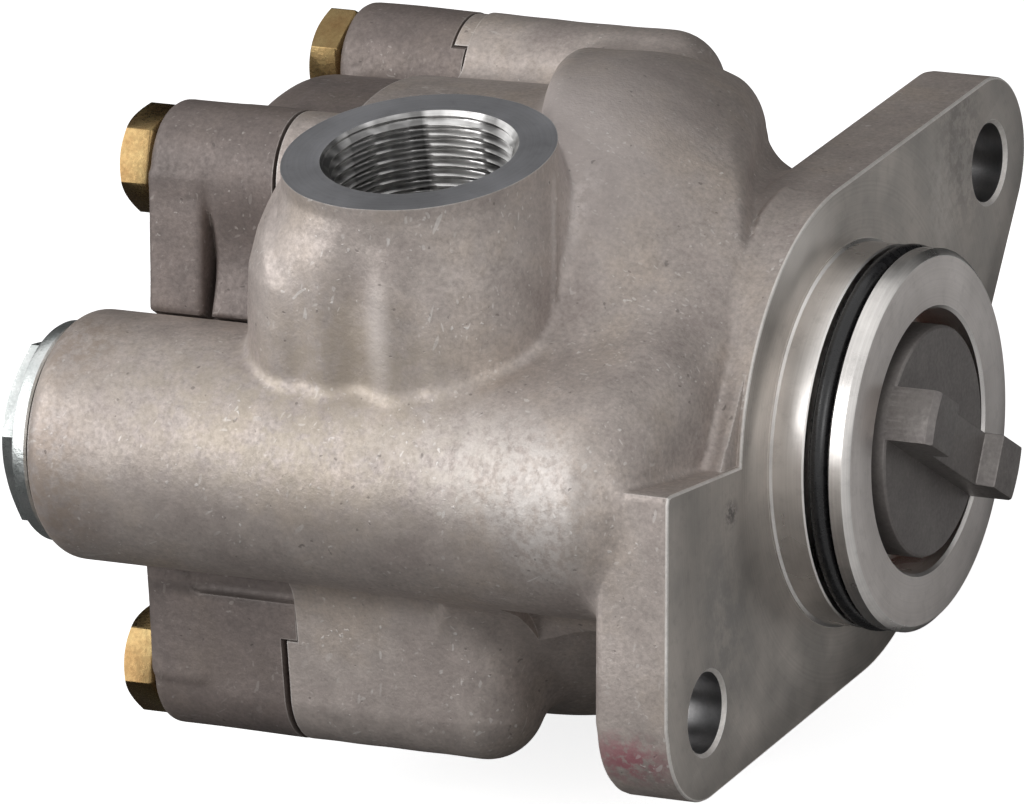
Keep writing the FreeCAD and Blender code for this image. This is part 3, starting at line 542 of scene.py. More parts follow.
def flange_points():
    """Outline of the flange, anticlockwise."""
    lean = math.degrees(math.acos((HUB_R - LOBE_R) / (HOLE_SPAN / 2)))
    base = math.degrees(HOLE_ANGLE)
    ledge = (EAR_INNER[0] - EAR_CORNER[0], EAR_INNER[1] - EAR_CORNER[1])
    reach = max(t / 1000 for t in range(1000, 1200)
                if math.hypot(*moved(EAR_CORNER, ledge, t / 1000)) > HUB_R)
    meet = moved(EAR_CORNER, ledge, reach)
    meet_angle = math.degrees(math.atan2(meet[1], meet[0]))
    down = (EAR_LOW[0] - EAR_CORNER[0], EAR_LOW[1] - EAR_CORNER[1])
    points = arc((HOLE_Y, HOLE_Z), LOBE_R, base - lean, base + lean, 40)
    points += arc((0, 0), HUB_R, base + lean, meet_angle, 50)
    points += [moved(EAR_CORNER, ledge, share) for share in (0.75, 0.5, 0.25, 0.06)]
    points.append(moved(moved(EAR_CORNER, ledge, 0.016), down, 0.006))
    points += [moved(EAR_CORNER, down, share) for share in (0.035, 0.35, 0.7, 1)]
    points += arc((-HOLE_Y, -HOLE_Z), LOBE_R, 174, 180 + base + lean, 36)
    points += arc((0, 0), HUB_R, 180 + base + lean, 360 + base - lean, 36)
    return [p for k, p in enumerate(points) if math.dist(p, points[k - 1]) > 0.02]


def inset(points, amount):
    """Outline moved inward, mitred at its corners."""
    out = []
    n = len(points)
    for k in range(n):
        before, here, after = points[k - 1], points[k], points[(k + 1) % n]
        normals = []
        for a, b in ((before, here), (here, after)):
            size = math.dist(a, b)
            normals.append(((b[1] - a[1]) / size, (a[0] - b[0]) / size))
        my, mz = normals[0][0] + normals[1][0], normals[0][1] + normals[1][1]
        size = math.hypot(my, mz)
        scale = amount / max(0.4, size / 2) / size
        out.append((here[0] - my * scale, here[1] - mz * scale))
    return out


# Housing
inlet_centre = (INLET_X, INLET_Y, 0)
outlet_centre = (OUTLET_X, OUTLET_Y, 0)
valve_centre = (0, VALVE_Y, VALVE_Z)
housing = skin("housing_casting", housing_distance, (-98, -65.5, -53), (3, 65.5, 55), FIELD_STEP)
outline = flange_points()
combine(housing, [
    layered("flange_plate", [(x, inset(outline, amount)) for x, amount in (
        (-FLANGE_T, 1.3), (-FLANGE_T + 0.35, 0.6), (-FLANGE_T + 0.9, 0.15), (-FLANGE_T + 1.6, 0), (-0.35, 0),
        (-0.1, 0.12), (0, 0.35))]),
    lathe("pilot", [
        (-2, 0), (-2, PILOT_R + 0.4), (0.25, PILOT_R + 0.4), (0.5, PILOT_R),
        (GROOVE_X0 - 0.2, PILOT_R), (GROOVE_X0, PILOT_R - 0.2), (GROOVE_X0, GROOVE_R),
        (GROOVE_X1, GROOVE_R), (GROOVE_X1, PILOT_R - 0.2),
        (GROOVE_X1 + 0.2, PILOT_R), (PILOT_LEN - 0.9, PILOT_R), (PILOT_LEN - 0.08, PILOT_R - 0.8),
        (PILOT_LEN, PILOT_R - 1), (PILOT_LEN, 0)], segments=256),
], "UNION")
combine(housing, [
    block("top", -80, -10, -60, 0, INLET_TOP, 70),
    rod("outlet_face", OUTLET_FACE_R, -60, OUTLET_FACE, outlet_centre, "Z", 128),
    band("parting", -76, PARTING_X, VALVE_R + 0.4, 140, valve_centre, 128),
])
tooth_y, tooth_z = BOLTS[0]
tooth_from = math.degrees(math.asin(TOOTH_LOW / TOOTH_R))
tooth = arc((tooth_y, tooth_z), TOOTH_R, tooth_from, 180 - tooth_from, 30)
combine(housing, [layered("tooth", [(PARTING_X - 2.2, tooth), (PARTING_X + 2, tooth)])], "UNION")
combine(housing, [
    lathe("inside", [
        (PARTING_X - 4, 0), (PARTING_X - 4, CHAMBER_R), (-32, CHAMBER_R), (-32, 12.05), (-27, 12.05),
        (-27, SHAFT_BORE_R), (-22.5, SHAFT_BORE_R), (-22.5, SEAL_BORE_R), (MOUTH_FROM, SEAL_BORE_R),
        (MOUTH_FROM, MOUTH_R), (PILOT_LEN - 0.4, MOUTH_R), (PILOT_LEN + 0.4, MOUTH_R + 0.8),
        (PILOT_LEN + 2, MOUTH_R + 0.8), (PILOT_LEN + 2, 0)], segments=192),
    lathe("valve_bore", [(VALVE_END - 3, 0), (VALVE_END - 3, 11.1), (VALVE_END, 11.1), (VALVE_END + 1.8, 9.2),
                         (-84, 9.2), (-84, SPOOL_R), (-30, SPOOL_R), (-30, 0)], valve_centre),
    threaded("inlet_thread", INLET_MINOR_R, 0.86, PORT_PITCH, 33.1, INLET_TOP + 1, inlet_centre, "Z", 144),
    lathe("inlet_mouth", [
        (INLET_TOP - 1.3, 11), (INLET_TOP - 1.3, INLET_MINOR_R), (INLET_TOP + 0.2, 13.55),
        (INLET_TOP + 2, 13.55), (INLET_TOP + 2, 11), (INLET_TOP - 1.3, 11)], inlet_centre, "Z", 144),
    rod("inlet_floor", 10, 31, 34, inlet_centre, "Z"),
    rod("inlet_passage", 6, 15, 32, (-51.2, INLET_Y, 0), "Z"),
    threaded("outlet_thread", OUTLET_MINOR_R, 0.8, PORT_PITCH, -60, -36.5, outlet_centre),
])
hole_profile = [(-30, 0), (-30, LOBE_R - 0.6), (-FLANGE_T, LOBE_R - 0.6), (-FLANGE_T, HOLE_R), (-0.5, HOLE_R),
                (0.5, HOLE_R + 1), (2, HOLE_R + 1), (2, 0)]
combine(housing, [lathe("hole", hole_profile, (0, s * HOLE_Y, s * HOLE_Z), "X", 96) for s in (1, -1)])
low_y, low_z = BOLTS[2]
combine(housing, [rod("tap", TAP_R, PARTING_X - 4, -58.4, (0, by, bz), "X", 48) for by, bz in BOLTS])
combine(housing, [
    block("low_step", PARTING_X - 1.6, -64.5, low_y - 12, -34.2, -18, -7.6),
    block("low_gap", PARTING_X - 1.6, -66.2, low_y - 12, low_y + 6, low_z - 14, -17.9),
])

# Rear cover
cover = skin("cover_casting", cover_distance, (-90, -48.5, -53), (-60, 48.5, 53), FIELD_STEP)
joint = new_object("joint", band("joint", PARTING_X - 0.6, PARTING_X + 1, JOINT_R, 70, segments=192))
combine(joint, [block("kept", -75, -60, -60, -26.5, -60, -6),
                block("kept_far", -75, PARTING_X - 0.3, 10, 60, 10, 60)])
combine(cover, [
    taken(joint),
    block("front", PARTING_X, -50, -60, 60, -6, 80),
    block("front_far", PARTING_X, -50, -26.5, 60, -80, -5.5),
    block("front_upper", -64.6, -50, -60, 60, -17.8, -5.5),
    block("front_lower", -67.1, -50, -60, 60, -80, -17.7),
    rod("front_round", 39.7, PARTING_X, -50, segments=192),
    block("tooth_room", PARTING_X - 2.5, -50, tooth_y - 14, tooth_y + 14, 37.25, 60),
    rod("bush", BUSH_R, -82, -60),
    rod("bush_mouth", 10.5, -69, -60),
] + [rod("clear", CLEAR_R, COVER_BACK - 3, -50, (0, by, bz), "X", 48) for by, bz in BOLTS])
for casting in (housing, cover):
    finished(casting)


# Cover bolts, valve plug and drive shaft
def bolt(by, bz, bolt_turn):
    start, tip = COVER_BACK - BOLT_HEAD, COVER_BACK + BOLT_LEN
    full, under = [hexagon(af, bolt_turn, (by, bz)) for af in (BOLT_AF, BOLT_AF - 1.2)]
    layers = [(start, full), (COVER_BACK - 0.95, full), (COVER_BACK - 0.35, under)]
    head = new_object("bolt", layered("bolt", layers))
    bevelled(head, 0.14)
    centre = (0, by, bz)
    combine(head, [lathe("crown", [(start - 1, 0), (start - 1, 5.2), (start, 6.3), (start + 0.75, 7.62),
                                   (COVER_BACK, 7.62), (COVER_BACK, 0)], centre, "X", 96)], "INTERSECT")
    combine(head, [rod("dish", 4.3, start - 1, start + 0.35, centre)])
    combine(head, [
        rod("washer", 6.1, COVER_BACK - 0.5, COVER_BACK, centre),
        lathe("shank", [(COVER_BACK - 1, 0), (COVER_BACK - 1, BOLT_R), (-75, BOLT_R), (-74.6, THREAD_CORE_R),
                        (-70, THREAD_CORE_R), (-70, 0)], centre, "X", 48),
        threaded("thread", 3.38, 0.58, 1.25, -74.8, tip - 0.6, centre, "X", 48),
        lathe("tip", [(tip - 1.2, 0), (tip - 1.2, 3.35), (tip, 2.9), (tip, 0)], centre, "X", 48),
    ], "UNION")
    return head


bolts = joined("hex_bolts", [bolt(by, bz, t) for (by, bz), t in zip(BOLTS, BOLT_TURNS)])
finished(bolts, 30)

plug_x0 = VALVE_END - PLUG_HEAD
plug_x1 = VALVE_END - 2.4
plug_flats = hexagon(PLUG_AF, PLUG_TURN, (VALVE_Y, VALVE_Z))
plug = new_object("hex_plug", layered("hex_plug", [(plug_x0, plug_flats), (plug_x1 + 0.1, plug_flats)]))
bevelled(plug, 0.2)
combine(plug, [lathe("plug_crown", [
    (plug_x0 - 1, 0), (plug_x0 - 1, 10.4), (plug_x0, 11.8), (plug_x0 + 1, 13.85), (VALVE_END, 13.85),
    (VALVE_END, 0)], valve_centre)], "INTERSECT")
combine(plug, [rod("plug_dish", 7, plug_x0 - 1, plug_x0 + 0.5, valve_centre)])
combine(plug, [
    lathe("collar", [(plug_x1, 0), (plug_x1, 14.3), (plug_x1 + 0.25, 14.8), (plug_x1 + 0.6, 15),
                     (VALVE_END - 0.3, 15), (VALVE_END - 0.02, 14.7), (VALVE_END - 0.02, 0)], valve_centre),
    lathe("stem", [(VALVE_END - 1, 0), (VALVE_END - 1, PLUG_STEM_R), (-84.7, PLUG_STEM_R), (-84, 8.5),
                   (-84, 0)], valve_centre),
], "UNION")
combine(plug, [
    rod("plug_hollow", 5.5, -90, -80, valve_centre),
    band("plug_groove", VALVE_END - 0.02, VALVE_END + 1.9, 8.1, 12.2, valve_centre),
])
finished(plug, 30)


# Valve and relief springs
def coil_spring(name, mean_r, wire_r, x0, x1, turns):
    """Round-wire spring about the valve's axis, with closed end turns."""
    rows_per_turn, sides = 40, 12
    closed = 2.06 * wire_r
    free = (x1 - x0 - 2 * wire_r - 2 * closed) / (turns - 2)
    rings = []
    for i in range(turns * rows_per_turn + 1):
        t = i / rows_per_turn
        along = x0 + wire_r + min(t, 1) * closed + min(max(t - 1, 0), turns - 2) * free
        along += max(t - turns + 1, 0) * closed
        a = 2 * math.pi * t
        ring = []
        for k in range(sides):
            b = 2 * math.pi * k / sides
            r = mean_r + wire_r * math.cos(b)
            x = min(max(along + wire_r * math.sin(b), x0), x1)
            ring.append((x, VALVE_Y + r * math.cos(a), VALVE_Z + r * math.sin(a)))
        rings.append(ring)
    spring = new_object(name, tube(name, rings))
    finished(spring)
    return spring


valve_coil = coil_spring("valve_coil", *VALVE_SPRING)
relief_coil = coil_spring("relief_coil", *RELIEF_SPRING)


def tang_solid():
    """Two driving lugs on a web, as one bevelled bar across the disc."""
    side_view = [(-19, 11.2), (19, 11.2), (19, 18.7), (8.1, 18.7), (7.6, 16), (-7.6, 16), (-8.1, 18.7),
                 (-19, 18.7)]
    c, s = math.cos(TANG_ANGLE), math.sin(TANG_ANGLE)
    bar = new_object("tang", tube("tang", [
        [(x, t * c - across * s, t * s + across * c) for t, x in side_view]
        for across in (-TANG_HALF, TANG_HALF)]))
    bevelled(bar, 0.3, 2)
    tang_r = DISC_R - 0.06
    rounding = [(5, 0), (5, tang_r), (17.9, tang_r), (18.7, DISC_R - 0.9), (20, DISC_R - 0.9), (20, 0)]
    combine(bar, [lathe("tang_round", rounding, segments=192)], "INTERSECT")
    return taken(bar)


shaft = new_object("tang_shaft", lathe("tang_shaft", [
    (-79, 0), (-79, 5.7), (-78.2, 6.5), (-65, 6.5), (-65, 7), (-60.9, 7), (-60.9, 6.4),
    (-59.6, 6.4), (-59.6, 7), (-44, 7), (-44, 8.3), (-23.4, 8.3), (-23.4, 8.5), (-12.4, 8.5), (-12.4, 10),
    (4.6, 10), (6.6, 12.6), (6.6, DISC_R - 0.4), (7, DISC_R), (DISC_X - 0.45, DISC_R),
    (DISC_X - 0.2, DISC_R - 0.1), (DISC_X, DISC_R - 0.4), (DISC_X, 0)], segments=192))
combine(shaft, [tang_solid()], "UNION")
finished(shaft, 30)


# Materials
FINISH = {}


class Tree:
    """Small helper around a node tree."""

    def __init__(self, tree):
        self.tree = tree

    def add(self, kind, **values):
        node = self.tree.nodes.new(kind)
        for key, value in values.items():
            setattr(node, key, value)
        return node

    def link(self, a, b):
        self.tree.links.new(a, b)

    def feed(self, value, socket):
        if isinstance(value, (int, float, tuple)):
            socket.default_value = value
        else:
            self.link(value, socket)

    def maths(self, operation, a, b=0):
        node = self.add("ShaderNodeMath", operation=operation)
        self.feed(a, node.inputs[0])
        self.feed(b, node.inputs[1])
        return node.outputs[0]

    def spread(self, value, low, high, out_low, out_high):
        node = self.add("ShaderNodeMapRange")
        for key, number in (("From Min", low), ("From Max", high), ("To Min", out_low), ("To Max", out_high)):
            node.inputs[key].default_value = number
        self.link(value, node.inputs["Value"])
        return node.outputs["Result"]

    def seen_directly(self):
        """1 for camera, glossy and transmission rays, 0 for diffuse light."""
        path = self.add("ShaderNodeLightPath").outputs
        seen = self.maths("MAXIMUM", path["Is Camera Ray"], path["Is Glossy Ray"])
        return self.maths("MAXIMUM", seen, path["Is Transmission Ray"])


class Nodes(Tree):
    """Builds one node material around a Principled shader."""

    def __init__(self, name):
        self.mat = bpy.data.materials.new(name)
        self.mat.use_nodes = True
        FINISH[name] = self.mat
        super().__init__(self.mat.node_tree)
        self.tree.nodes.clear()
        self.out = self.add("ShaderNodeOutputMaterial")
        self.shader = self.add("ShaderNodeBsdfPrincipled")
        self.link(self.shader.outputs["BSDF"], self.out.inputs["Surface"])
        self.coord = self.add("ShaderNodeTexCoord").outputs["Object"]

    def noise(self, per_mm, detail, rough, stretch=(1, 1, 1), shift=(0, 0, 0), source=None, turn=None):
        """Noise of a given number of waves per millimetre."""
        if turn:
            turned = self.add("ShaderNodeMapping")
            turned.inputs["Rotation"].default_value = turn
            self.link(self.coord, turned.inputs["Vector"])
            source = turned.outputs["Vector"]
        mapping = self.add("ShaderNodeMapping")
        mapping.inputs["Scale"].default_value = [s / MM for s in stretch]
        mapping.inputs["Location"].default_value = shift
        self.link(source or self.coord, mapping.inputs["Vector"])
        node = self.add("ShaderNodeTexNoise")
        node.inputs["Scale"].default_value = per_mm
        node.inputs["Detail"].default_value = detail
        node.inputs["Roughness"].default_value = rough
        self.link(mapping.outputs["Vector"], node.inputs["Vector"])
        return node.outputs["Fac"]

    def ramp(self, value, stops):
        node = self.add("ShaderNodeValToRGB")
        ramp = node.color_ramp
        while len(ramp.elements) < len(stops):
            ramp.elements.new(0.5)
        for element, (pos, colour) in zip(ramp.elements, stops):
            element.position = pos
            element.color = (*colour[:3], 1)
        self.link(value, node.inputs["Fac"])
        return node.outputs["Color"]

    def mix(self, fac, a, b, blend="MIX"):
        node = self.add("ShaderNodeMix", data_type="RGBA", blend_type=blend)
        for value, socket in ((fac, node.inputs[0]), (a, node.inputs[6]), (b, node.inputs[7])):
            self.feed((*value, 1) if isinstance(value, tuple) and len(value) == 3 else value, socket)
        return node.outputs[2]

    def shade(self, colour, value, low, high, dark, light):
        """Colour multiplied by a factor that runs from dark to light with a value."""
        return self.mix(1, colour, self.spread(value, low, high, dark, light), "MULTIPLY")

    def vector(self, operation, a, b=(0, 0, 0), out=0):
        node = self.add("ShaderNodeVectorMath", operation=operation)
        self.feed(a, node.inputs[0])
        self.feed(b, node.inputs[1])
        return node.outputs[out]

    def marked_with_stains_and_painted_light(self, colour, marks):
        """Colour with local marks laid over it: stains, and painted highlights, shade and shadow."""
        for centre, radius, soft, stretch, tint, strength, scale in marks:
            mask = self.spot(centre, radius, soft, stretch)
            if scale:
                breaks = self.noise(scale, 4, 0.7, shift=(5, 5, 5))
                mask = self.maths("MULTIPLY", mask, self.spread(breaks, 0.42, 0.56, 0, strength))
            else:
                mask = self.maths("MULTIPLY", mask, strength)
            colour = self.mix(mask, colour, tint)
        return colour

    def spot(self, centre, radius, soft, stretch):
        """Mask around a point in millimetres: 1 inside the radius, 0 beyond radius plus soft."""
        away = self.vector("SUBTRACT", self.coord, tuple(MM * c for c in centre))
        away = self.vector("MULTIPLY", away, tuple(1 / s for s in stretch))
        size = self.vector("LENGTH", away, out=1)
        return self.spread(size, radius * MM, (radius + soft) * MM, 1, 0)

    def edges(self, radius):
        """Mask of sharp edges within a radius in millimetres."""
        bevel = self.add("ShaderNodeBevel", samples=4)
        bevel.inputs["Radius"].default_value = radius * MM
        normal = self.add("ShaderNodeNewGeometry").outputs["Normal"]
        facing = self.vector("DOT_PRODUCT", bevel.outputs["Normal"], normal, out=1)
        return self.spread(facing, 0.99, 0.85, 0, 1)

    def round_coord(self, centre, axis):
        """Coordinates along an axis and away from it, for turned marks."""
        split = self.add("ShaderNodeSeparateXYZ")
        self.link(self.coord, split.inputs[0])
        x, y, z = split.outputs
        lengthwise, a, b = (x, y, z) if axis == "X" else (z, x, y)
        a, b = [self.maths("SUBTRACT", side, c * MM) for side, c in zip((a, b), centre)]
        square = self.maths("ADD", self.maths("MULTIPLY", a, a), self.maths("MULTIPLY", b, b))
        away = self.maths("SQRT", square)
        joint = self.add("ShaderNodeCombineXYZ")
        self.link(lengthwise, joint.inputs[0])
        self.link(away, joint.inputs[1])
        return joint.outputs[0]

    def bump(self, height, distance_mm, strength, base=None):
        node = self.add("ShaderNodeBump")
        node.inputs["Strength"].default_value = strength
        node.inputs["Distance"].default_value = distance_mm * MM
        self.link(height, node.inputs["Height"])
        if base is not None:
            self.link(base, node.inputs["Normal"])
        return node.outputs["Normal"]

    def set(self, **values):
        for key, value in values.items():
            self.feed(value, self.shader.inputs[key.replace("_", " ")])
        return self.mat


# Local marks, stains and painted light and shade among them: centre, radius, softness, stretch, colour,
# strength and scale of breaks (0 for none)
HOUSING_MARKS = [
    # The first three rows are painted highlights on the lit upper front of the valve cylinder, near its nose
    ((-22.5, -56.6, 18), 4, 6, (1.6, 1, 1), (0.74, 0.70, 0.67), 0.55, 0.7),
    ((-17.5, -58.6, 12.5), 3, 5, (1, 1, 1.6), (0.74, 0.70, 0.67), 0.5, 0.8),
    ((-30, -54.5, 21), 3, 7, (2, 1, 1), (0.68, 0.62, 0.58), 0.4, 0.6),
    ((-91, -46.7, 26), 3.5, 6, (1, 1, 1), (0.34, 0.27, 0.22), 0.6, 0.5),
    ((-91.5, -58.9, 9.5), 3, 7, (1, 1, 1.8), (0.38, 0.30, 0.24), 0.55, 0.5),
    ((-6.3, -62, -19.5), 1.2, 5.5, (1.2, 1, 0.8), (0.42, 0.12, 0.16), 0.75, 0.55),
    ((-52, -47.5, 30), 4, 7, (1, 1, 1.3), (0.44, 0.37, 0.30), 0.45, 0.4),
    ((-40, -49.5, 27), 3, 8, (1, 1, 1), (0.43, 0.37, 0.30), 0.45, 0.4),
    ((-66, -53, 21.5), 5, 10, (1.8, 1, 1), (0.45, 0.39, 0.31), 0.4, 0.35),
    ((-45, -56, 19), 5, 9, (2, 1, 1), (0.46, 0.40, 0.32), 0.35, 0.35),
    # The next three rows are painted highlights on the swell's left side, where the light falls; the last is
    # an upright streak
    ((-41, -10, 46), 3, 10, (0.7, 1, 1), (0.78, 0.70, 0.67), 0.8, 0),
    ((-33, -12, 43), 4, 20, (0.8, 1.2, 1.2), (0.66, 0.59, 0.565), 0.75, 0),
    ((-26, -20, 38), 2, 5, (0.35, 1.3, 1.6), (0.80, 0.73, 0.70), 0.6, 0.5),
    # Painted shade on the right flanks of the two front ridges of the inlet boss, away from the light
    ((-47.5, -48, 27), 1.6, 3.2, (1, 1, 3.2), (0.37, 0.31, 0.25), 0.6, 0),
    ((-38.5, -47, 23), 1.2, 2.6, (1, 1, 2.2), (0.36, 0.30, 0.25), 0.5, 0),
    # Painted highlight on the lit left flank of the middle front ridge
    ((-43, -49, 31), 0.8, 1.8, (1, 1, 5), (0.74, 0.67, 0.63), 0.6, 0),
    # Painted highlight on the lit left front of the inlet boss
    ((-58, -45, 36), 2, 8, (1, 1, 1.2), (0.56, 0.50, 0.47), 0.3, 0),
]
# Painted shadow line under the top of the low wall, partly dirt, and painted shade under the valve cylinder
# above it
COVER_MARKS = [
    ((-75.5, -43.2, -12), 0.7, 2.2, (6, 1, 0.5), (0.075, 0.062, 0.057), 0.75, 0),
    ((-72, -43, -8.5), 1.5, 4, (2.5, 1, 1), (0.12, 0.10, 0.092), 0.5, 0),
]
FLANGE_MARKS = [
    ((0, -37.3, 5.7), 0.6, 2, (1, 1, 1), (0.11, 0.10, 0.10), 0.85, 0.9),
    ((0, 42.1, 24), 4, 8, (1, 0.8, 1.3), (0.24, 0.22, 0.205), 0.7, 0.5),
    ((0, 34, 19), 2, 6, (1, 0.7, 1.5), (0.55, 0.52, 0.49), 0.5, 0.6),
    # Painted reflection: bright spot on the face at the pilot's upper left
    ((0, -10, 31.5), 2, 9, (1, 1.3, 0.8), (0.86, 0.81, 0.76), 0.75, 0),
    ((0, -42, -8), 3, 9, (1, 0.8, 1.6), (0.27, 0.26, 0.25), 0.6, 0.25),
]


def cast_skin(name, base, warm, deep, speck, rough, metallic, marks):
    """Sand-cast aluminium, lightly shot-blasted, with handling stains, edges lightened partly as painted
    highlight, and the given marks, some of them painted highlights and shade.
    """
    n = Nodes(name)
    colour = n.ramp(n.noise(0.075, 4, 0.62), [(0.34, deep), (0.5, base), (0.66, warm)])
    colour = n.shade(colour, n.noise(0.32, 3, 0.6, shift=(3, 1, 2)), 0.3, 0.7, 0.90, 1.09)
    grit = n.noise(1.5, 3, 0.68)
    colour = n.shade(colour, grit, 0.3, 0.7, 0.84, 1.15)
    colour = n.marked_with_stains_and_painted_light(colour, marks)
    region = n.spread(n.noise(0.11, 2, 0.5, shift=(9, 2, 4)), 0.42, 0.62, 0.15, 1)
    bright = n.spread(n.noise(1.25, 1, 0.4, shift=(1, 7, 3)), 0.71, 0.77, 0, 0.6)
    bright = n.maths("MULTIPLY", bright, region)
    colour = n.mix(bright, colour, speck)
    for per_mm, low, stretch, shift, turn in ((1.7, 0.77, (0.16, 1.2, 0.7), (2, 9, 4), (0.2, 0.5, 0.3)),
                                              (1.5, 0.78, (1.3, 0.8, 0.2), (8, 3, 1), (0.4, -0.3, 0.9))):
        scratch = n.noise(per_mm, 0, 0.3, stretch, shift, turn=turn)
        scratch = n.maths("MULTIPLY", n.spread(scratch, low, low + 0.03, 0, 0.4), region)
        colour = n.mix(scratch, colour, speck)
    pits = n.spread(n.noise(0.95, 1, 0.4, shift=(7, 3, 8)), 0.25, 0.21, 0, 0.5)
    colour = n.mix(pits, colour, tuple(0.3 * c for c in base))
    # Edges and creases lightened: partly wear, partly painted highlight along them
    wear_and_edge_highlight = n.maths("MULTIPLY", n.edges(0.35), n.spread(n.noise(0.5, 2, 0.6), 0.35, 0.6, 0.25, 0.9))
    colour = n.mix(wear_and_edge_highlight, colour, speck)
    normal = n.bump(n.noise(0.3, 3, 0.55), 0.14, 0.55)
    normal = n.bump(grit, 0.09, 0.6, normal)
    normal = n.bump(n.maths("SUBTRACT", bright, pits), 0.08, 0.6, normal)
    gloss = n.spread(grit, 0.3, 0.7, rough + 0.07, rough - 0.06)
    return n.set(Base_Color=colour, Metallic=metallic, Roughness=gloss, Normal=normal)


def turned_metal(name, light, dark, rough, metallic=1.0, anisotropy=0.0, centre=(0, 0), axis="X", reflection_bands=0.0,
                 marks=()):
    """Machined metal with fine concentric tool marks, edges lightened partly as painted highlight, and
    painted reflection bands if asked.
    """
    n = Nodes(name)
    turns = n.noise(3, 2, 0.6, source=n.round_coord(centre, axis))
    clouds = n.noise(0.09, 3, 0.6)
    colour = n.ramp(clouds, [(0.35, dark), (0.65, light)])
    colour = n.shade(colour, turns, 0.3, 0.7, 0.93, 1.06)
    smear = n.spread(n.noise(0.5, 4, 0.7), 0.52, 0.72, 0, 0.28)
    colour = n.mix(smear, colour, tuple(0.62 * c for c in dark))
    # Edges lightened: partly wear, partly painted highlight along them
    wear_and_edge_highlight = n.spread(n.edges(0.2), 0, 1, 0, 0.6)
    colour = n.mix(wear_and_edge_highlight, colour, (0.9, 0.89, 0.87))
    colour = n.marked_with_stains_and_painted_light(colour, marks)
    # Upright light and dark bands, as in a bore: painted reflection
    if reflection_bands:
        upright = n.noise(0.17, 2, 0.6, (1, 1, 0.03), (0.4, 2.1, 0))
        colour = n.shade(colour, upright, 0.4, 0.6, 1 - reflection_bands, 1.1)
    n.shader.inputs["Anisotropic"].default_value = anisotropy
    if anisotropy:
        offset = (0, centre[0] * MM, centre[1] * MM) if axis == "X" else (centre[0] * MM, centre[1] * MM, 0)
        spoke = n.vector("SUBTRACT", n.coord, offset)
        turning = (1, 0, 0) if axis == "X" else (0, 0, 1)
        n.link(n.vector("NORMALIZE", n.vector("CROSS_PRODUCT", turning, spoke)), n.shader.inputs["Tangent"])
    normal = n.bump(turns, 0.02, 0.4)
    normal = n.bump(n.noise(0.6, 3, 0.6), 0.03, 0.25, normal)
    gloss = n.spread(clouds, 0.3, 0.7, rough, rough + 0.1)
    return n.set(Base_Color=colour, Metallic=metallic, Roughness=gloss, Normal=normal)


def metal(name, base, rough, metallic=1.0, tint=None, grain=0.05):
    n = Nodes(name)
    tint = tint or tuple(0.8 * c for c in base)
    colour = n.ramp(n.noise(0.22, 4, 0.65), [(0.35, tint), (0.65, base)])
    fine = n.noise(1.8, 3, 0.6)
    colour = n.shade(colour, fine, 0.3, 0.7, 0.9, 1.08)
    # Edges lightened: partly wear, partly painted highlight along them
    colour = n.mix(n.spread(n.edges(0.18), 0, 1, 0, 0.6), colour, tuple(min(1, 1.35 * c) for c in base))
    gloss = n.spread(fine, 0.3, 0.7, rough + 0.12, rough)
    return n.set(Base_Color=colour, Metallic=metallic, Roughness=gloss, Normal=n.bump(fine, grain, 0.45))


def rubber(name, base, rough):
    n = Nodes(name)
    fine = n.noise(0.8, 3, 0.6)
    colour = n.ramp(fine, [(0.3, base), (0.7, tuple(1.5 * c for c in base))])
    return n.set(Base_Color=colour, Roughness=n.spread(fine, 0.3, 0.7, rough, rough + 0.15),
                 Normal=n.bump(fine, 0.03, 0.4))


cast_skin("cast_aluminium", (0.47, 0.412, 0.38), (0.49, 0.42, 0.37), (0.40, 0.345, 0.32),
          (0.86, 0.83, 0.80), 0.5, 0.38, HOUSING_MARKS)
cast_skin("cover_casting", (0.215, 0.178, 0.164), (0.225, 0.186, 0.166), (0.17, 0.142, 0.132),
          (0.50, 0.46, 0.43), 0.55, 0.3, COVER_MARKS)
turned_metal("flange_face", (0.47, 0.43, 0.395), (0.36, 0.335, 0.31), 0.38, 0.7, 0.5, marks=FLANGE_MARKS)
# The port faces' blue-grey tone is partly their own, partly a painted reflection of a darker surround
turned_metal("port_face", (0.38, 0.38, 0.40), (0.32, 0.32, 0.335), 0.36, 0.5, 0, (INLET_X, INLET_Y), "Z")
turned_metal("turned", (0.80, 0.77, 0.74), (0.64, 0.615, 0.595), 0.24, 1, 0.5)
# Lighter than the flange face, which faces the same way: painted light on the pilot's end face
turned_metal("pilot_face", (0.70, 0.655, 0.63), (0.58, 0.54, 0.515), 0.3, 0.9, 0.5)
# The last number sets the bore's painted reflection bands
turned_metal("bore", (0.80, 0.79, 0.78), (0.62, 0.61, 0.60), 0.27, 1, 0, (INLET_X, INLET_Y), "Z", 0.72)
turned_metal("hole", (0.36, 0.35, 0.345), (0.20, 0.20, 0.205), 0.3)
# Bright rim and hole chamfers: partly bare machined metal, partly painted highlight
metal("edge", (0.86, 0.82, 0.78), 0.4, 0.3, (0.70, 0.66, 0.62), 0.02)
metal("yellow_zinc", (0.27, 0.195, 0.09), 0.22, 1, (0.20, 0.125, 0.055))
metal("bright_zinc", (0.78, 0.80, 0.79), 0.26, 1, (0.60, 0.64, 0.63), 0.12)
metal("shaft_steel", (0.21, 0.195, 0.185), 0.42, 0.75, (0.17, 0.155, 0.15))
metal("ground_steel", (0.66, 0.66, 0.66), 0.2)
metal("sintered_steel", (0.36, 0.36, 0.36), 0.45)
metal("bush_bronze", (0.62, 0.42, 0.22), 0.3)
metal("orifice_brass", (0.78, 0.60, 0.28), 0.25)
rubber("black_rubber", (0.012, 0.012, 0.013), 0.2)
rubber("brown_rubber", (0.19, 0.066, 0.042), 0.4)


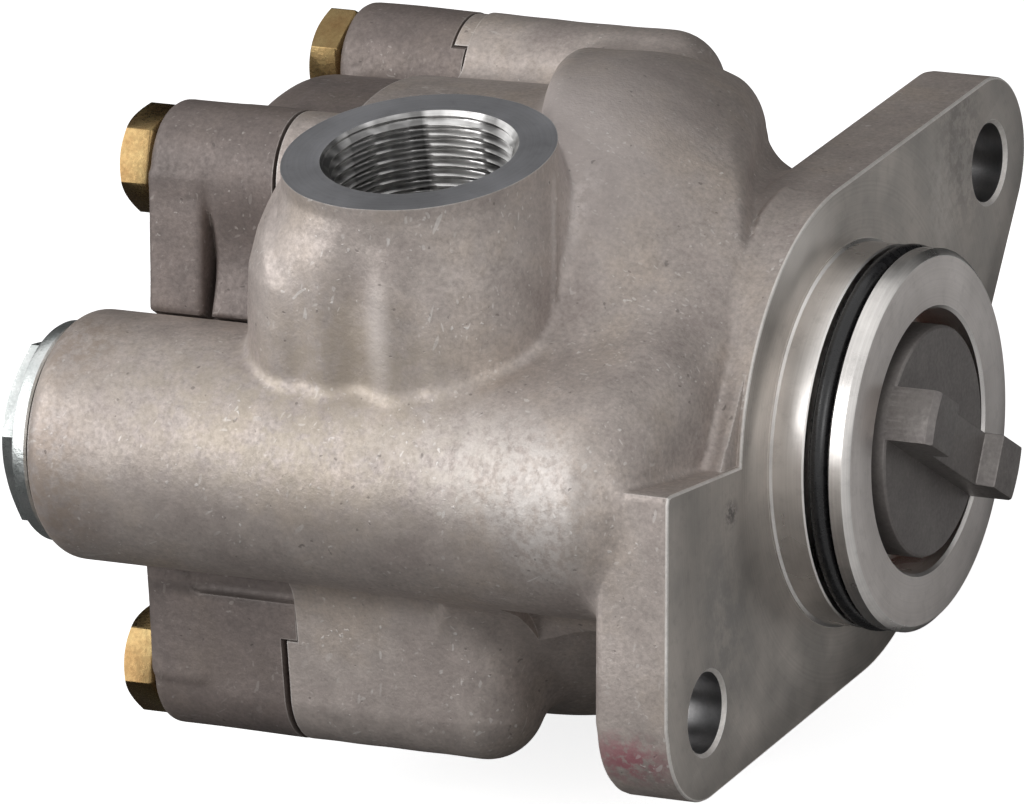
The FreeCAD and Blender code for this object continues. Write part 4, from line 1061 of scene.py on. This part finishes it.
def finish_housing():
    """Give the machined faces of the housing their own finishes."""
    mesh = housing.data
    names = ["cast_aluminium", "flange_face", "port_face", "turned", "bore", "pilot_face", "edge", "hole"]
    for name in names:
        mesh.materials.append(FINISH[name])
    cast, face, port, turned, bore, pilot_face, edge, hole = range(len(names))
    centre = np.empty(len(mesh.polygons) * 3)
    normal = np.empty(len(mesh.polygons) * 3)
    mesh.polygons.foreach_get("center", centre)
    mesh.polygons.foreach_get("normal", normal)
    x, y, z = centre.reshape(-1, 3).T / MM
    nx, _, nz = normal.reshape(-1, 3).T
    out = np.full(len(x), cast, dtype=np.int32)
    r = np.hypot(y, z)
    inlet_r = np.hypot(x - INLET_X, y - INLET_Y)
    outlet_r = np.hypot(x - OUTLET_X, y - OUTLET_Y)
    out[(np.abs(x) < ON_FACE) & (nx > 0.9)] = face
    out[(x > -0.34) & (x < -0.01) & (r > 33)] = edge
    out[(np.abs(z - INLET_TOP) < ON_FACE) & (nz > 0.9)] = port
    out[(np.abs(z - OUTLET_FACE) < ON_FACE) & (nz < -0.9)] = port
    out[(x > 0.03) & (r < PILOT_R + 0.5)] = turned
    out[(x > PILOT_LEN - ON_FACE) & (nx > 0.9) & (r < PILOT_R + 0.5)] = pilot_face
    out[(inlet_r < 13.6) & (z > 15) & (z < INLET_TOP - 0.01)] = bore
    out[(outlet_r < 9.2) & (z < -30)] = bore
    for s in (1, -1):
        hole_r = np.hypot(y - s * HOLE_Y, z - s * HOLE_Z)
        out[(hole_r < HOLE_R + 0.62) & (x < -0.01) & (x > -FLANGE_T - 0.1)] = edge
        out[(hole_r < HOLE_R + 0.05) & (x < -0.5) & (x > -FLANGE_T - 0.1)] = hole
    out[(np.abs(x - PARTING_X) < ON_FACE) & (nx < -0.9)] = face
    out[(r < CHAMBER_R + 0.1) & (x < 0) & (x > PARTING_X)] = turned
    mesh.polygons.foreach_set("material_index", out)
    mesh.update()


for piece in (cover, bolts, plug, shaft, valve_coil, relief_coil, housing):
    piece.data.materials.clear()
finish_housing()
# What each piece rides on, which CAD piece it stands for, and that piece's slot
for piece, body, node, slot in ((housing, "pump_body", "pump_housing", "cast_aluminium"),
                                (cover, "pump_body", "rear_cover", "cover_casting"),
                                (bolts, "pump_body", "cover_bolts", "yellow_zinc"),
                                (plug, "pump_body", "valve_plug", "bright_zinc"),
                                (shaft, "shaft_group", "drive_shaft", "shaft_steel"),
                                (valve_coil, "pump_body", "valve_spring", "ground_steel"),
                                (relief_coil, "valve_spool", "relief_spring", "ground_steel")):
    if not piece.data.materials:
        piece.data.materials.append(FINISH[slot])
    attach(piece, body)
    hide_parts(node)
# Each spring's joint, the place of its held end in its sizes, and the joint's travel
squashed = [(valve_coil, "spool_slide", 2, SPOOL_TRAVEL, VALVE_SPRING),
            (relief_coil, "relief_ball_slide", 3, RELIEF_LIFT, RELIEF_SPRING)]
for spring, joint_name, held, travel, sizes in squashed:
    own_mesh(spring)

for part in frame["record"]["subparts"]:
    obj = nodes[part["node"]]
    chosen = FINISH[part["material_slot"]]
    if not obj.material_slots:
        obj.data.materials.append(chosen)
    for slot in obj.material_slots:
        slot.material = chosen


# Floor, studio cards, light and camera, in metres
FLOOR_Z = -0.0497
FLOOR_GLOW = 0.8
SKY_DIFFUSE = 0.22
CARD_Z = -0.0496
CARD_X = 0.02


def sheet(name, corners, material):
    mesh = bpy.data.meshes.new(name)
    mesh.from_pydata(corners, [], [(0, 1, 2, 3)])
    mesh.materials.append(material)
    obj = new_object(name, mesh)
    return obj


n = Nodes("floor")
tone = n.mix(n.seen_directly(), (0.35, 0.345, 0.34), (0.97, 0.97, 0.97))
glow = n.maths("MULTIPLY", n.add("ShaderNodeLightPath").outputs["Is Camera Ray"], FLOOR_GLOW)
sheet("floor", [(-4, -4, FLOOR_Z), (4, -4, FLOOR_Z), (4, 4, FLOOR_Z), (-4, 4, FLOOR_Z)],
      n.set(Base_Color=tone, Roughness=0.9, Specular_IOR_Level=0.1, Emission_Color=(1, 1, 1, 1),
            Emission_Strength=glow))

n = Nodes("card")
card = sheet("back_card", [(-1.2, 0.6, -0.04), (0.6, 0.6, -0.04), (0.6, 0.6, 0.75), (-1.2, 0.6, 0.75)],
             n.set(Base_Color=(0.04, 0.04, 0.04, 1), Roughness=1, Specular_IOR_Level=0))
card.visible_camera = False
card.visible_diffuse = False
card.visible_shadow = False

# Grey card just above the floor, seen by the object only and clear from below
n = Nodes("low_card")
n.set(Base_Color=(0.13, 0.13, 0.13, 1), Roughness=1, Specular_IOR_Level=0)
one_sided = n.add("ShaderNodeMixShader")
n.link(n.add("ShaderNodeNewGeometry").outputs["Backfacing"], one_sided.inputs[0])
n.link(n.shader.outputs[0], one_sided.inputs[1])
n.link(n.add("ShaderNodeBsdfTransparent").outputs[0], one_sided.inputs[2])
n.link(one_sided.outputs[0], n.out.inputs["Surface"])
card = sheet("low_card", [(-1.5, -1.5, CARD_Z), (CARD_X, -1.5, CARD_Z), (CARD_X, 1.5, CARD_Z),
                          (-1.5, 1.5, CARD_Z)], n.mat)
card.visible_camera = False
card.visible_shadow = False

world = bpy.data.worlds.new("studio")
bpy.context.scene.world = world
world.use_nodes = True
sky = Tree(world.node_tree)
background = world.node_tree.nodes["Background"]
background.inputs["Color"].default_value = (1, 1, 1, 1)
sky.link(sky.spread(sky.seen_directly(), 0, 1, SKY_DIFFUSE, 1), background.inputs["Strength"])


def area(name, location, target, size, size_y, power):
    light = bpy.data.lights.new(name, "AREA")
    light.shape = "RECTANGLE"
    light.size = size
    light.size_y = size_y
    light.energy = power
    obj = bpy.data.objects.new(name, light)
    bpy.context.scene.collection.objects.link(obj)
    obj.location = location
    obj.rotation_euler = (Vector(target) - obj.location).to_track_quat("-Z", "Y").to_euler()


middle = (-0.04, 0, 0)
area("key", (-0.74, -0.68, 0.45), middle, 1, 0.8, 7.6)
area("fill", (0.80, -0.70, 0.50), middle, 0.5, 0.5, 2.2)

# Camera solved from the photograph, in millimetres
IMAGE = (1024, 804)
FOCAL_PX = 12000.0
PX_PER_MM = 7.412
AZ, EL, ROLL = math.radians(28.8), math.radians(24.99), math.radians(-6.822)
ORIGIN_PX = (851.314, 432.54)
back = Vector((math.sin(AZ) * math.cos(EL), -math.cos(AZ) * math.cos(EL), math.sin(EL)))
right0 = Vector((math.cos(AZ), math.sin(AZ), 0))
up0 = back.cross(right0)
right = math.cos(ROLL) * right0 + math.sin(ROLL) * up0
up = -math.sin(ROLL) * right0 + math.cos(ROLL) * up0
x_off = (ORIGIN_PX[0] - IMAGE[0] / 2) / PX_PER_MM
y_off = (IMAGE[1] / 2 - ORIGIN_PX[1]) / PX_PER_MM
position = -x_off * right - y_off * up + (FOCAL_PX / PX_PER_MM) * back
camera_data = bpy.data.cameras.new("camera")
camera_data.sensor_width = 36
camera_data.lens = FOCAL_PX / IMAGE[0] * camera_data.sensor_width
camera_data.clip_start = 0.05
camera_data.clip_end = 20
camera = bpy.data.objects.new("camera", camera_data)
bpy.context.scene.collection.objects.link(camera)
turn = Matrix((right, up, back)).transposed().to_4x4()
camera.matrix_world = Matrix.Translation(position * MM) @ turn
bpy.context.scene.camera = camera
bpy.context.scene.view_settings.view_transform = "Standard"
